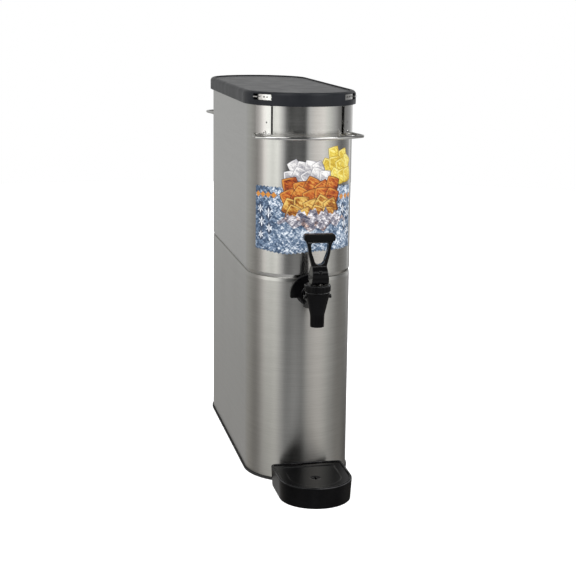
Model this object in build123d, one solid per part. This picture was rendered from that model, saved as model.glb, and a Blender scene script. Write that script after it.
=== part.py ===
from build123d import *
from math import atan2, degrees
import os

# Iced tea dispenser: a narrow stainless tank on a matching base skirt, with
# a lift-off moulded lid, two wire carrying handles, a lever tap and a drip tray.
# Millimetres, +Z up, the tap and tray towards -Y. The model is drawn about the
# middle of the tank's footprint and moved along Y on export, so that the origin
# is under the middle of the whole object.

# Driving dimensions of the body
BODY_WIDTH = 146.0
BODY_LENGTH = 434.2
LID_TOP_Z = 537.7
SEAM_Z = 295.4
SHEET = 1.2
TANK_SHEET = 1.0

# Tank and floor pan
SKIRT_GAP = 0.9
JOGGLE_HEIGHT = 4.0
TANK_BOTTOM_Z = 243.0
FLOOR_FRONT_Z = 249.0
FLOOR_SLOPE_DEG = 1.0
FLOOR_RIM_HEIGHT = 9.6
RIM_BEAD_R = 1.8

# Base skirt and its edge trim
SKIRT_BOTTOM_Z = 2.0
SKIRT_HEM = 9.0
SKIRT_LEAN = 0.5
SKIRT_LEAN_HEIGHT = 6.0
TRIM_PROUD = 1.6
TRIM_LIP_Z = 4.0
TRIM_DEPTH = 11.0

# Lid
LID_HEIGHT = 18.0
LID_OVERHANG = 4.5
LID_SKIRT = 2.2
LID_PLATE = 3.8
LID_EDGE_R = 5.5
LID_RIM_WIDTH = 6.0
LID_RECESS = 1.8
LID_LIP_OFFSET = -4.6
LID_LIP = 2.0
LID_LIP_DEPTH = 9.0
LID_RIB = 2.0
LID_RIB_DEPTH = 5.0
WINDOW_LOW_Z = 526.6
WINDOW_HEIGHT = 8.2
WINDOW_ANGLES = (40.2, 64.8)
CLIP_PAD_ANGLES = (41.0, 56.4)
CLIP_TAB_ANGLES = (56.0, 61.5)
CLIP_TAB_Z = 531.0
CLIP_TAB_REACH = 3.5

# Handle straps, angles measured from straight ahead round the rounded end
STRAP_ANGLES = (41.5, 62.0)
STRAP_PROUD = 2.6
STRAP_BOTTOM_Z = 478.2
STRAP_TOP_Z = 519.2
STRAP_NECK_ANGLES = (46.0, 57.0)
STRAP_NECK_TOP_Z = 529.0
STRAP_NECK = 1.0
STRAP_FLANGE_DEG = 1.0
FOOT_POINT = 11.6
FOOT_RISE = 3.4
BOSS_ANGLE = 49.6
BOSS_Z = 484.0
BOSS_R = 2.7

# Wire handles
WIRE_R = 2.0
WIRE_Z = 479.7
WIRE_REACH_Y = 240.5
WIRE_CORNER = (74.4, 211.0)
WIRE_END = (68.48, 174.0)
WIRE_BEND_R = 9.0

# Tap
TAP_Y = -272.0
TAP_Z = 270.0
SPOUT_R = 9.6
SPOUT_BORE_R = 6.2
SPOUT_TIP_Z = 236.0
SPOUT_SHOULDER_Z = 252.0
VALVE_R = 16.2
VALVE_TOP_Z = 283.2
VALVE_NECK_R = 14.0
VALVE_NECK_TOP_Z = 290.2
LUG_R = 2.6
LUG_Z = 276.5
LUG_REACH = 18.4
CHAMBER_R = 11.2
SEAT_Z = 262.0
SEAT_R = 8.6
BARREL_R = 11.0
SHANK_R = 9.5
SHANK_BORE_R = 6.5
FLANGE_R = 26.5
FLANGE_THICKNESS = 5.5
FLANGE_EDGE_R = 1.2
GASKET_R = 17.0
GASKET_THICKNESS = 3.5
BONNET_R = 17.5
BONNET_LOW_Z = 283.8
BONNET_TOP_Z = 293.0
STEM_R = 3.0
RUNNING_GAP = 0.05
PIN_Z = 304.0
PIN_R = 1.5
EYE_R = 4.0
CAM_R = 10.7
CAM_LEAD = 6.8
CHEEK_HALF = 11.8
SLOT_HALF = 3.3
LEVER_TOP_Z = 361.0
LEVER_BAR_HALF = 20.8
LEVER_DEPTH = 9.0
LEVER_Y = -277.5
LEVER_BEND_LOW = 330.0
LEVER_BEND_HIGH = 346.0
PIP_R = 2.6
PIP_Y = -286.0
PIP_Z = 310.0

# Drip tray
TRAY_FRONT_Y = -324.0
TRAY_BACK_Y = -217.8
TRAY_HALF = 50.2
TRAY_CORNER_R = 3.5
TRAY_DRAFT = 2.0
TRAY_HEIGHT = 29.4
TRAY_EDGE_R = 2.2
TRAY_RIM = 3.4
TRAY_LEDGE = 1.8
TRAY_FLOOR = 3.0
INSERT_THICKNESS = 2.6
INSERT_DROP = 1.4
INSERT_GAP = 0.5
DISH_INSET = 12.0
DISH_DEPTH = 0.8
DRAIN_AHEAD = 5.0
DRAIN_R = 7.0
DRAIN_SLOT = 2.4
NOTCH_WIDTH = 32.0
NOTCH_DEPTH = 3.5
TONGUE_HALF = 31.0
TONGUE_LENGTH = 42.0
TONGUE_THICKNESS = 2.2
TONGUE_LIFT = 0.4

# Values that follow from the driving dimensions
END_R = BODY_WIDTH / 2
END_Y = BODY_LENGTH / 2 - END_R
FACE_Y = -BODY_LENGTH / 2
LID_LOW_Z = LID_TOP_Z - LID_HEIGHT
RIM_TOP_Z = LID_TOP_Z - LID_PLATE
TANK_R = END_R - SHEET - SKIRT_GAP
LID_R = END_R + LID_OVERHANG
LEDGE_Z = TRAY_HEIGHT - INSERT_DROP - INSERT_THICKNESS
SHIFT_Y = (-TRAY_FRONT_Y - WIRE_REACH_Y - WIRE_R) / 2


def stadium(offset=0.0):
    """The body's plan outline, grown by an offset."""
    return SlotOverall(BODY_LENGTH + 2 * offset, BODY_WIDTH + 2 * offset, rotation=90)


def prism(offset, low, high):
    """A solid with the body's outline between two heights."""
    return Pos(0, 0, low) * extrude(stadium(offset), high - low)


def section(*points):
    """A wall section in X and Z, X being the distance from the rounded end's centre."""
    return make_face(Plane.XZ * Polyline(*points, close=True))


def carry_round(face):
    """Carry a wall section round the stadium: two half turns and two straight runs."""
    half_turn = revolve(face, Axis.Z, 180)
    side = Pos(0, -END_Y, 0) * extrude(face, amount=2 * END_Y, dir=(0, 1, 0))
    rear = Pos(0, END_Y, 0) * half_turn
    front = Pos(0, -END_Y, 0) * Rot(Z=180) * half_turn
    return rear + front + side + Rot(Z=180) * side


def end_sector(inner_r, outer_r, low, high, angles):
    """A block of the front right rounded end, between two angles from straight ahead."""
    block = section((inner_r, low), (outer_r, low), (outer_r, high), (inner_r, high))
    return Pos(0, -END_Y, 0) * Rot(Z=angles[0] - 90) * revolve(block, Axis.Z, angles[1] - angles[0])


def four_corners(part):
    """The same piece at all four rounded corners, by name."""
    left = mirror(part, about=Plane.YZ)
    return {
        "front_right": part,
        "front_left": left,
        "rear_right": mirror(part, about=Plane.XZ),
        "rear_left": mirror(left, about=Plane.XZ),
    }


def along_y(radius, start, end, z=TAP_Z):
    """A round bar along Y through the tap's shank axis."""
    return Pos(0, start, z) * Rot(X=-90) * extrude(Circle(radius), end - start)


def along_x(radius, half, y, z):
    """A round bar along X, centred on the middle plane."""
    return Pos(-half, y, z) * Rot(Y=90) * extrude(Circle(radius), 2 * half)


def turned(*points):
    """A revolved body from radius and height points, standing on the tap's axis."""
    return Pos(0, TAP_Y, 0) * revolve(section(*points), Axis.Z)


def save(name, part):
    """Write one named piece, moved so that the whole object is centred."""
    export_step(Pos(0, SHIFT_Y, 0) * part, f"parts/{name}.step")


def tank_shell():
    """Outer tank wall: rolled rim, joggle that rests on the skirt, and a lower wall inside it."""
    slope = JOGGLE_HEIGHT / (END_R - TANK_R)
    joggle_low = SEAM_Z - slope * (SKIRT_GAP - SKIRT_LEAN)
    joggle_high = joggle_low + JOGGLE_HEIGHT
    inner = END_R - TANK_SHEET
    wall = section(
        (TANK_R - TANK_SHEET, TANK_BOTTOM_Z), (TANK_R, TANK_BOTTOM_Z), (TANK_R, joggle_low),
        (END_R, joggle_high), (END_R, RIM_TOP_Z - RIM_BEAD_R),
        (inner, RIM_TOP_Z - RIM_BEAD_R), (inner, joggle_high), (TANK_R - TANK_SHEET, joggle_low),
    )
    bead_centre = (END_R - RIM_BEAD_R, RIM_TOP_Z - RIM_BEAD_R)
    bead = Plane.XZ * Pos(*bead_centre) * RegularPolygon(RIM_BEAD_R, 8, False, 22.5)
    shell = carry_round(wall) + carry_round(bead)
    return shell - along_y(SHANK_R + 0.5, FACE_Y - 5, FACE_Y + 10)


def tank_floor():
    """Drawn floor pan with an upturned rim, falling towards the tap."""
    outer = TANK_R - TANK_SHEET - END_R
    tilt = Pos(0, FACE_Y, FLOOR_FRONT_Z) * Rot(X=FLOOR_SLOPE_DEG)
    plate = tilt * Pos(0, BODY_LENGTH / 2, 0) * Box(BODY_WIDTH, BODY_LENGTH * 1.1, SHEET)
    rim_low = TANK_BOTTOM_Z + SHEET
    rim = prism(outer, rim_low, rim_low + FLOOR_RIM_HEIGHT)
    rim -= prism(outer - SHEET, rim_low - 1, rim_low + FLOOR_RIM_HEIGHT + 1)
    return rim + (plate & prism(outer, rim_low, rim_low + 2 * FLOOR_RIM_HEIGHT))


def base_skirt():
    """Base skirt: turned-in hem with a notch for the tray's tongue, top edge leaning in."""
    inner = END_R - SHEET
    hem_inner = END_R - SKIRT_HEM
    hem_top = SKIRT_BOTTOM_Z + SHEET
    lean_low = SEAM_Z - SKIRT_LEAN_HEIGHT
    skirt = carry_round(section(
        (hem_inner, SKIRT_BOTTOM_Z), (END_R, SKIRT_BOTTOM_Z), (END_R, lean_low),
        (END_R - SKIRT_LEAN, SEAM_Z), (inner - SKIRT_LEAN, SEAM_Z), (inner, lean_low),
        (inner, hem_top), (hem_inner, hem_top),
    ))
    return skirt - tongue_notch() - along_y(SHANK_R + 0.5, FACE_Y - 5, FACE_Y + 10)


def tongue_notch():
    """Clear way through the skirt's hem and trim for the tray's tongue."""
    width = 2 * (TONGUE_HALF + 1.5)
    return Pos(0, FACE_Y + 10, 0) * Box(width, 40, 2 * (TRIM_LIP_Z + 0.5))


def base_trim():
    """Rubber edge trim under the hem, which the dispenser stands on."""
    outer = END_R + TRIM_PROUD
    inner = END_R - TRIM_DEPTH
    trim = carry_round(section(
        (inner, 0), (outer - 0.6, 0), (outer, 0.6), (outer, TRIM_LIP_Z),
        (END_R, TRIM_LIP_Z), (END_R, SKIRT_BOTTOM_Z), (inner, SKIRT_BOTTOM_Z),
    ))
    return trim - tongue_notch()


def lid():
    """Moulded lid: raised rim round a sunken top, skirt with four windows, lip and ribs."""
    outer = prism(LID_OVERHANG, LID_LOW_Z, LID_TOP_Z)
    outer = fillet(outer.faces().sort_by(Axis.Z)[-1].edges(), LID_EDGE_R)
    outer -= prism(LID_OVERHANG - LID_RIM_WIDTH, LID_TOP_Z - LID_RECESS, LID_TOP_Z + 1)
    hollow = prism(LID_OVERHANG - LID_SKIRT, LID_LOW_Z - 1, RIM_TOP_Z)
    shell = outer - hollow + lid_lip() + lid_ribs()
    window = end_sector(LID_R - LID_SKIRT - 1, LID_R + 1, WINDOW_LOW_Z,
                        WINDOW_LOW_Z + WINDOW_HEIGHT, WINDOW_ANGLES)
    for cut in four_corners(window).values():
        shell -= cut
    return shell


def lid_lip():
    """Locating lip under the lid that drops inside the tank's rim."""
    low = RIM_TOP_Z - LID_LIP_DEPTH
    lip = prism(LID_LIP_OFFSET, low, RIM_TOP_Z)
    return lip - prism(LID_LIP_OFFSET - LID_LIP, low - 1, RIM_TOP_Z)


def lid_ribs():
    """Cross ribs under the lid's top, inside the lip."""
    length = 2 * (END_R + LID_LIP_OFFSET - LID_LIP / 2)
    rib = Box(length, LID_RIB, LID_RIB_DEPTH, align=(Align.CENTER, Align.CENTER, Align.MAX))
    return [Pos(0, y, RIM_TOP_Z) * rib for y in (-120, -40, 40, 120)]


def lid_clip():
    """Spring clip behind a lid window: leaf, pad with a hole and a slot, and a turned-out tab."""
    leaf_r = LID_R - LID_SKIRT
    near, far = CLIP_PAD_ANGLES
    leaf = end_sector(leaf_r - 0.8, leaf_r, WINDOW_LOW_Z - 3.2, RIM_TOP_Z - 0.2, (near - 2, far + 1))
    pad_low = WINDOW_LOW_Z + 0.7
    pad_top = WINDOW_LOW_Z + WINDOW_HEIGHT - 0.5
    pad = end_sector(leaf_r - 0.2, LID_R - 0.6, pad_low, pad_top, CLIP_PAD_ANGLES)
    tab = end_sector(leaf_r - 0.6, LID_R + CLIP_TAB_REACH, CLIP_TAB_Z - 0.6, CLIP_TAB_Z + 0.6,
                     CLIP_TAB_ANGLES)
    slot = end_sector(leaf_r, LID_R + 1, CLIP_TAB_Z - 0.9, CLIP_TAB_Z + 0.7, (near - 1, near + 5.5))
    return leaf + pad + tab - slot - drilled(1.3, near + 8.4, CLIP_TAB_Z)


def drilled(radius, angle, z):
    """A short round drill through the sheet outside the front right rounded end."""
    place = Pos(0, -END_Y, z) * Rot(Z=angle - 90) * Pos(LID_R, 0, 0)
    return place * Rot(Y=90) * Cylinder(radius, 8)


def strap():
    """Sheet strap at the front right corner: open near side, shoulder, far flange and neck."""
    inner, outer = END_R, END_R + STRAP_PROUD
    near, far = STRAP_ANGLES
    blade = end_sector(inner, outer, STRAP_BOTTOM_Z, STRAP_TOP_Z, STRAP_ANGLES)
    pocket = end_sector(inner - 1, outer - SHEET, STRAP_BOTTOM_Z - 1, STRAP_TOP_Z - SHEET,
                        (near - 1, far - STRAP_FLANGE_DEG))
    neck = end_sector(inner, inner + STRAP_NECK, STRAP_TOP_Z - SHEET,
                      STRAP_NECK_TOP_Z, STRAP_NECK_ANGLES)
    boss = drilled(BOSS_R, BOSS_ANGLE, BOSS_Z)
    boss &= end_sector(outer - SHEET / 2, outer + 0.9, BOSS_Z - 5, BOSS_Z + 5, STRAP_ANGLES)
    body = blade - pocket - strap_foot() + neck + boss
    return body - drilled(1.0, BOSS_ANGLE, BOSS_Z) - drilled(1.1, near + 5.3, 497.4)


def strap_foot():
    """Wedge that cuts the strap's lower edge up towards its near side, leaving a V."""
    tangent = Plane.YZ * Polyline(
        (-1, STRAP_BOTTOM_Z - 1), (FOOT_POINT, STRAP_BOTTOM_Z),
        (-1, STRAP_BOTTOM_Z + FOOT_RISE * (1 + 1 / FOOT_POINT)), close=True)
    place = Pos(0, -END_Y, 0) * Rot(Z=STRAP_ANGLES[0] - 90)
    return place * Pos(END_R - 3, 0, 0) * extrude(make_face(tangent), 12)


def wire_handle():
    """Front carrying handle: a bowed bar with both ends returning to the straps."""
    corner_x, corner_y = WIRE_CORNER
    end_x, end_y = WIRE_END
    right = Line((end_x, -end_y), (corner_x, -corner_y))
    bow = ThreePointArc((corner_x, -corner_y), (0, -WIRE_REACH_Y), (-corner_x, -corner_y))
    left = Line((-corner_x, -corner_y), (-end_x, -end_y))
    route = Wire([right.edge(), bow.edge(), left.edge()])
    corners = [v for v in route.vertices() if abs(v.Y + corner_y) < 0.1]
    route = Pos(0, 0, WIRE_Z) * route.fillet_2d(WIRE_BEND_R, corners)
    return sweep(Plane(origin=route @ 0, z_dir=route % 0) * Circle(WIRE_R), path=route)


def tap_body():
    """Moulded tap: valve body and spout with a lug each side, barrel, shield flange and shank."""
    valve = turned(
        (0, SPOUT_TIP_Z), (SPOUT_R - 0.4, SPOUT_TIP_Z), (SPOUT_R, SPOUT_SHOULDER_Z),
        (VALVE_R, VALVE_TOP_Z - 3), (VALVE_R, VALVE_TOP_Z), (VALVE_NECK_R, VALVE_TOP_Z),
        (VALVE_NECK_R, VALVE_NECK_TOP_Z), (0, VALVE_NECK_TOP_Z),
    )
    chamber = turned(
        (0, SPOUT_TIP_Z - 1), (SPOUT_BORE_R, SPOUT_TIP_Z - 1), (SPOUT_BORE_R, SEAT_Z),
        (SEAT_R, SEAT_Z), (SEAT_R, SEAT_Z + 2), (CHAMBER_R, SEAT_Z + 11),
        (CHAMBER_R, VALVE_NECK_TOP_Z + 1), (0, VALVE_NECK_TOP_Z + 1),
    )
    flange_back = FACE_Y - GASKET_THICKNESS
    barrel = along_y(BARREL_R, TAP_Y, flange_back)
    shank = along_y(SHANK_R, flange_back, FACE_Y + 22)
    lugs = along_x(LUG_R, LUG_REACH, TAP_Y, LUG_Z)
    body = valve + barrel + shank + tap_flange(flange_back) + tap_rib() + lugs
    body -= chamber
    return body - along_y(SHANK_BORE_R, TAP_Y, FACE_Y + 23)


def tap_flange(back_y):
    """Shield-shaped flange: a round top, an ear at each side and a pointed foot."""
    ear_low = -5.5
    upper = Circle(FLANGE_R) - Pos(0, ear_low - FLANGE_R) * Rectangle(3 * FLANGE_R, 2 * FLANGE_R)
    foot = make_face(Polyline((-14, ear_low + 1), (14, ear_low + 1), (5, -20), (-5, -20), close=True))
    outline = fillet((upper + foot).vertices(), 1.5)
    shield = extrude(outline, FLANGE_THICKNESS)
    shield = fillet(shield.faces().sort_by(Axis.Z)[-1].edges(), FLANGE_EDGE_R)
    return Pos(0, back_y, TAP_Z) * Rot(X=90) * shield


def tap_rib():
    """Thin web under the barrel, from the flange's foot to the valve body."""
    back = FACE_Y - GASKET_THICKNESS - 1
    rib = make_face(Plane.YZ * Polyline(
        (back, TAP_Z), (back, TAP_Z - 19), (TAP_Y + 12, TAP_Z - 13), (TAP_Y + 12, TAP_Z), close=True))
    return Pos(-2.5, 0, 0) * extrude(rib, 5)


def tap_gasket():
    """Rubber washer outside, hollowed to sit on the rounded face."""
    ring = along_y(GASKET_R, FACE_Y - GASKET_THICKNESS, FACE_Y + 8)
    ring -= along_y(SHANK_R, FACE_Y - 10, FACE_Y + 10)
    return ring - prism(0, TAP_Z - 40, TAP_Z + 40)


def tank_washer():
    """Rubber washer inside the tank, rounded to the wall and flat towards the nut."""
    ring = along_y(GASKET_R - 2, FACE_Y, FACE_Y + 8)
    ring -= along_y(SHANK_R, FACE_Y - 1, FACE_Y + 10)
    return ring & prism(TANK_R - TANK_SHEET - END_R, TAP_Z - 40, TAP_Z + 40)


def shank_nut():
    """Hexagon nut that holds the shank from inside the tank."""
    hexagon = RegularPolygon(16.0, 6, major_radius=False) - Circle(SHANK_R)
    return Pos(0, FACE_Y + 8, TAP_Z) * Rot(X=-90) * extrude(hexagon, 7)


def bonnet():
    """Screw cap of the valve, with finger flutes and a hole for the stem."""
    cap = turned(
        (STEM_R + RUNNING_GAP, VALVE_NECK_TOP_Z), (VALVE_NECK_R, VALVE_NECK_TOP_Z),
        (VALVE_NECK_R, BONNET_LOW_Z), (BONNET_R - 0.8, BONNET_LOW_Z),
        (BONNET_R, BONNET_LOW_Z + 0.8), (BONNET_R, BONNET_TOP_Z - 1.5),
        (BONNET_R - 0.6, BONNET_TOP_Z - 0.4), (BONNET_R - 1.8, BONNET_TOP_Z),
        (STEM_R + RUNNING_GAP, BONNET_TOP_Z),
    )
    flute = Pos(BONNET_R + 0.9, 0, BONNET_LOW_Z) * extrude(Circle(1.5), BONNET_TOP_Z)
    flutes = [Pos(0, TAP_Y, 0) * Rot(Z=turn) * flute for turn in range(0, 360, 20)]
    return cap - flutes


def tap_stem():
    """Valve stem: a rod with a flat eye at the top for the lever's pin."""
    rod = Pos(0, TAP_Y, SEAT_Z + 4) * extrude(Circle(STEM_R), PIN_Z - SEAT_Z - 4)
    eye = along_x(EYE_R, STEM_R, TAP_Y, PIN_Z)
    return rod + eye - along_x(PIN_R + RUNNING_GAP, 2 * STEM_R, TAP_Y, PIN_Z)


def seat_cup():
    """Silicone seat cup pushed over the stem's lower end, with a wide sealing rim."""
    return turned(
        (0, SEAT_Z - 2.5), (SPOUT_BORE_R - 1.2, SEAT_Z - 2.5), (SPOUT_BORE_R - 0.6, SEAT_Z + 0.05),
        (SEAT_R - 0.6, SEAT_Z + 0.05), (SEAT_R - 0.6, SEAT_Z + 8), (SEAT_R - 2.2, SEAT_Z + 11),
        (SEAT_R - 2.2, SEAT_Z + 14), (CHAMBER_R - 0.3, SEAT_Z + 17), (CHAMBER_R - 0.3, SEAT_Z + 19),
        (STEM_R, SEAT_Z + 19), (STEM_R, SEAT_Z + 4), (0, SEAT_Z + 4),
    )


def lever_outline():
    """Front outline of the lever's blade, from the hub up to the grip bar."""
    right = [(9.4, 316.0), (13.9, 334.0), (15.3, 343.0), (17.2, 350.0)]
    left = [(-x, z) for x, z in reversed(right)]
    blade = make_face(Polyline(*right, *left, close=True))
    bends = [v for v in blade.vertices() if LEVER_BEND_LOW < v.Y < LEVER_BEND_HIGH]
    return fillet(bends, 24)


def lever_loop():
    """Finger hole in the lever: flat at the top and rounded at the bottom."""
    right = Polyline((7.1, 326.6), (10.6, 336.0), (11.9, 349.0))
    top = Line((11.9, 349.0), (-11.9, 349.0))
    left = Polyline((-11.9, 349.0), (-10.6, 336.0), (-7.1, 326.6))
    bottom = ThreePointArc((-7.1, 326.6), (0, 320.2), (7.1, 326.6))
    hole = make_face([right, top, left, bottom])
    hole = fillet([v for v in hole.vertices() if v.Y > LEVER_BEND_HIGH - 3], 2.4)
    return fillet([v for v in hole.vertices() if abs(v.Y - 336) < 0.1], 12)


def tap_lever():
    """Pull lever: grip bar, finger loop, a moulded pip, and a cam hub that rides on the bonnet."""
    blade = Pos(0, LEVER_Y + LEVER_DEPTH / 2, 0) * extrude(Plane.XZ * lever_outline(), LEVER_DEPTH)
    sides = [e for e in blade.edges() if abs(e.center().X) > 9 and abs((e % 0.5).Y) < 0.1]
    blade = fillet(sides, 1.6)
    grip = Pos(0, LEVER_Y - 0.5, LEVER_TOP_Z - 5) * Box(2 * LEVER_BAR_HALF, LEVER_DEPTH + 3, 10)
    grip = fillet(grip.edges().filter_by(Axis.Y), 4.0)
    grip = fillet(grip.edges(), 1.8)
    flare = Plane.XZ * Polyline((-16.9, 348.5), (16.9, 348.5), (19.7, 354), (-19.7, 354), close=True)
    flare = Pos(0, LEVER_Y + 4, 0) * extrude(make_face(flare), 8)
    hub = make_face(Plane.XZ * Polyline(
        (-CHEEK_HALF, 292), (CHEEK_HALF, 292), (9.9, 318), (-9.9, 318), close=True))
    hub = Pos(0, TAP_Y + 12, 0) * extrude(hub, 34) & cam_profile()
    pip = Pos(0, PIP_Y, PIP_Z) * Sphere(PIP_R)
    lever = blade + grip + flare + hub + pip
    loop = Pos(0, LEVER_Y + 20, 0) * extrude(Plane.XZ * lever_loop(), 40)
    return lever - loop - stem_slot() - along_x(PIN_R, 20, TAP_Y, PIN_Z)


def cam_profile():
    """Side view of the hub: an eccentric cam at the front and a small heel behind."""
    cam = along_x(CAM_R, 30, TAP_Y - CAM_LEAD, PIN_Z)
    heel = along_x(7.6, 30, TAP_Y, PIN_Z)
    back_y = LEVER_Y + LEVER_DEPTH / 2
    neck = make_face(Plane.YZ * Polyline(
        (TAP_Y - 16.6, PIN_Z + 3), (TAP_Y + 7.3, PIN_Z + 1), (back_y, 319), (back_y - 9, 319), close=True))
    return cam + heel + Pos(-30, 0, 0) * extrude(neck, 60)


def stem_slot():
    """Room in the hub for the stem's eye through the whole pull."""
    eye_room = along_x(EYE_R + 0.6, SLOT_HALF, TAP_Y, PIN_Z)
    half = EYE_R + 0.6
    drop = Pos(0, TAP_Y, PIN_Z) * Box(2 * SLOT_HALF, 2 * half, 40, align=(Align.CENTER, Align.CENTER, Align.MAX))
    swept = [Pos(0, TAP_Y, PIN_Z) * Rot(X=turn) * Pos(0, -TAP_Y, -PIN_Z) * drop for turn in (-18, -38)]
    return eye_room + drop + swept


def lever_pin():
    """Steel pin through the lever's cheeks and the stem's eye."""
    return along_x(PIN_R, CHEEK_HALF - 1.4, TAP_Y, PIN_Z)


def tray_outline(inset=0.0):
    """Plan of the tray: straight back, parallel sides and a half-round front."""
    half = TRAY_HALF - inset
    centre_y = TRAY_FRONT_Y + TRAY_HALF
    back_y = TRAY_BACK_Y - inset
    block = Pos(0, (centre_y + back_y) / 2) * Rectangle(2 * half, back_y - centre_y)
    plan = block + Pos(0, centre_y) * Circle(half)
    corners = [v for v in plan.vertices() if abs(v.Y - back_y) < 0.1]
    return fillet(corners, TRAY_CORNER_R)


def tray_block(inset, low, high):
    """A straight-sided block with the tray's plan."""
    return Pos(0, 0, low) * extrude(tray_outline(inset), high - low)


def drip_tray():
    """Moulded tray: drafted walls, rounded rim, a ledge for the insert and a flat tongue."""
    draft_deg = degrees(atan2(TRAY_DRAFT, TRAY_HEIGHT))
    tray = extrude(tray_outline(TRAY_DRAFT), TRAY_HEIGHT, taper=-draft_deg)
    tray = fillet(tray.faces().sort_by(Axis.Z)[-1].edges(), TRAY_EDGE_R)
    tray -= tray_block(TRAY_RIM, LEDGE_Z, TRAY_HEIGHT + 1)
    tray -= tray_block(TRAY_RIM + TRAY_LEDGE, TRAY_FLOOR, LEDGE_Z + 1)
    tongue = Pos(0, TRAY_BACK_Y - 4, TONGUE_LIFT) * extrude(
        RectangleRounded(2 * TONGUE_HALF, 2 * TONGUE_LENGTH, 6), TONGUE_THICKNESS)
    tongue -= Pos(0, TRAY_BACK_Y - 4 - TONGUE_LENGTH, 0) * Box(4 * TONGUE_HALF, 2 * TONGUE_LENGTH, 20)
    return tray + (tongue - tray_block(TRAY_RIM, -1, TRAY_HEIGHT))


def tray_insert():
    """Lift-out plate: shallow dish, sunken drain with a cross-shaped hole, finger notch."""
    top = LEDGE_Z + INSERT_THICKNESS
    plate = tray_block(TRAY_RIM + INSERT_GAP, LEDGE_Z, top)
    dish = extrude(tray_outline(TRAY_RIM + DISH_INSET), DISH_DEPTH, taper=-60)
    plate -= Pos(0, 0, top - DISH_DEPTH) * dish
    drain = Pos(0, TAP_Y - DRAIN_AHEAD, 0)
    plate -= drain * Pos(0, 0, top - 2 * DISH_DEPTH) * extrude(Circle(DRAIN_R), 5)
    slot = Box(2 * DRAIN_R - 5, DRAIN_SLOT, 4 * TRAY_HEIGHT)
    plate -= drain * (slot + Rot(Z=90) * slot)
    back_y = TRAY_BACK_Y - TRAY_RIM - INSERT_GAP
    notch = RectangleRounded(NOTCH_WIDTH, 2 * NOTCH_DEPTH, 3)
    return plate - Pos(0, back_y, LEDGE_Z - 1) * extrude(notch, 2 * INSERT_THICKNESS)


def build_all():
    """Make every piece and write it under its own name."""
    pieces = {
        "tank_shell": tank_shell(), "tank_floor": tank_floor(),
        "base_skirt": base_skirt(), "base_trim": base_trim(), "lid": lid(),
        "tap_body": tap_body(), "tap_gasket": tap_gasket(), "tank_washer": tank_washer(),
        "shank_nut": shank_nut(), "bonnet": bonnet(), "tap_stem": tap_stem(),
        "seat_cup": seat_cup(), "tap_lever": tap_lever(), "lever_pin": lever_pin(),
        "drip_tray": drip_tray(), "tray_insert": tray_insert(), "front_handle": wire_handle(),
    }
    pieces["rear_handle"] = mirror(pieces["front_handle"], about=Plane.XZ)
    for corner, piece in four_corners(strap()).items():
        pieces[f"strap_{corner}"] = piece
    for corner, piece in four_corners(lid_clip()).items():
        pieces[f"clip_{corner}"] = piece
    for name, piece in pieces.items():
        save(name, piece)


os.makedirs("parts", exist_ok=True)
build_all()
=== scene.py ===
"""Dresses the packed iced tea dispenser: finishes, printed band, welds, threads and studio."""

from __future__ import annotations

import logging
import math
from collections.abc import Callable, Sequence
from dataclasses import dataclass, field
from enum import Enum
from functools import partial

import bmesh
import bpy
from mathutils import Matrix, Vector, noise


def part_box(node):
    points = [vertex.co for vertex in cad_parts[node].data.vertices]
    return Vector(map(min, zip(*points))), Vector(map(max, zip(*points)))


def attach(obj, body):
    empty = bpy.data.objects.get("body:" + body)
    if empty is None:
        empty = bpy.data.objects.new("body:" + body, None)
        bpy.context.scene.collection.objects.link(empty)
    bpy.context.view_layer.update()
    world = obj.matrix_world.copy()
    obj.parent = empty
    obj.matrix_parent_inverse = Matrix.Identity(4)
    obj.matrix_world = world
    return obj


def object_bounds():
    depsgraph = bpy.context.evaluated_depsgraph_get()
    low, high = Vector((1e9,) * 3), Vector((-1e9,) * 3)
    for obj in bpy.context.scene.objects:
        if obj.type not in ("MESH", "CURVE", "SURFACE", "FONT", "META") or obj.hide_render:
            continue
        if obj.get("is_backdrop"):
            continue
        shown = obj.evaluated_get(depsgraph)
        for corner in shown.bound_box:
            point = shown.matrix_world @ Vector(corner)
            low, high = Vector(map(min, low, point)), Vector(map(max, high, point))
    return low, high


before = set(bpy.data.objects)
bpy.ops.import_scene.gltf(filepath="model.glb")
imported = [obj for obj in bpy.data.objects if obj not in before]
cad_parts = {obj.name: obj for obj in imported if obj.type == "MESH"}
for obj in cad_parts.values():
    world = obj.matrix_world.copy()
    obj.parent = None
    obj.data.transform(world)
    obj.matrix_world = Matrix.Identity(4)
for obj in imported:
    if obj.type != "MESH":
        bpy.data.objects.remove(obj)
CAD_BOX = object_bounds()
MIDDLE_Y = sum(corner.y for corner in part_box("tank_shell")) / 2
MM = 0.001
LOG = logging.getLogger("iced_tea_dispenser")

# The colour sockets of Blender's Mix node, which it numbers but doesn't name apart.
MIX_SHARE, MIX_FIRST, MIX_SECOND, MIX_RESULT = 0, 6, 7, 2

Colour = tuple[float, float, float]
Stretch = tuple[float, float, float]
Wave = tuple[float, float, float]
Span = tuple[float, float]
Spot = tuple[float, float]
Feed = float | Sequence[float] | bpy.types.NodeSocket

UNIT: Span = (0.0, 1.0)


def opaque(colour: Colour) -> tuple[float, float, float, float]:
    """Return a colour with full alpha."""
    return (*colour, 1.0)


def grey(tone: float) -> tuple[float, float, float, float]:
    """Return a neutral colour with full alpha."""
    return opaque((tone, tone, tone))


class Corner(Enum):
    """The four rounded corners: the side along X and the end along Y."""

    FRONT_RIGHT = (1, -1)
    FRONT_LEFT = (-1, -1)
    REAR_RIGHT = (1, 1)
    REAR_LEFT = (-1, 1)

    @property
    def label(self) -> str:
        """Return the corner's name as the parts carry it."""
        return self.name.lower()


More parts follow.
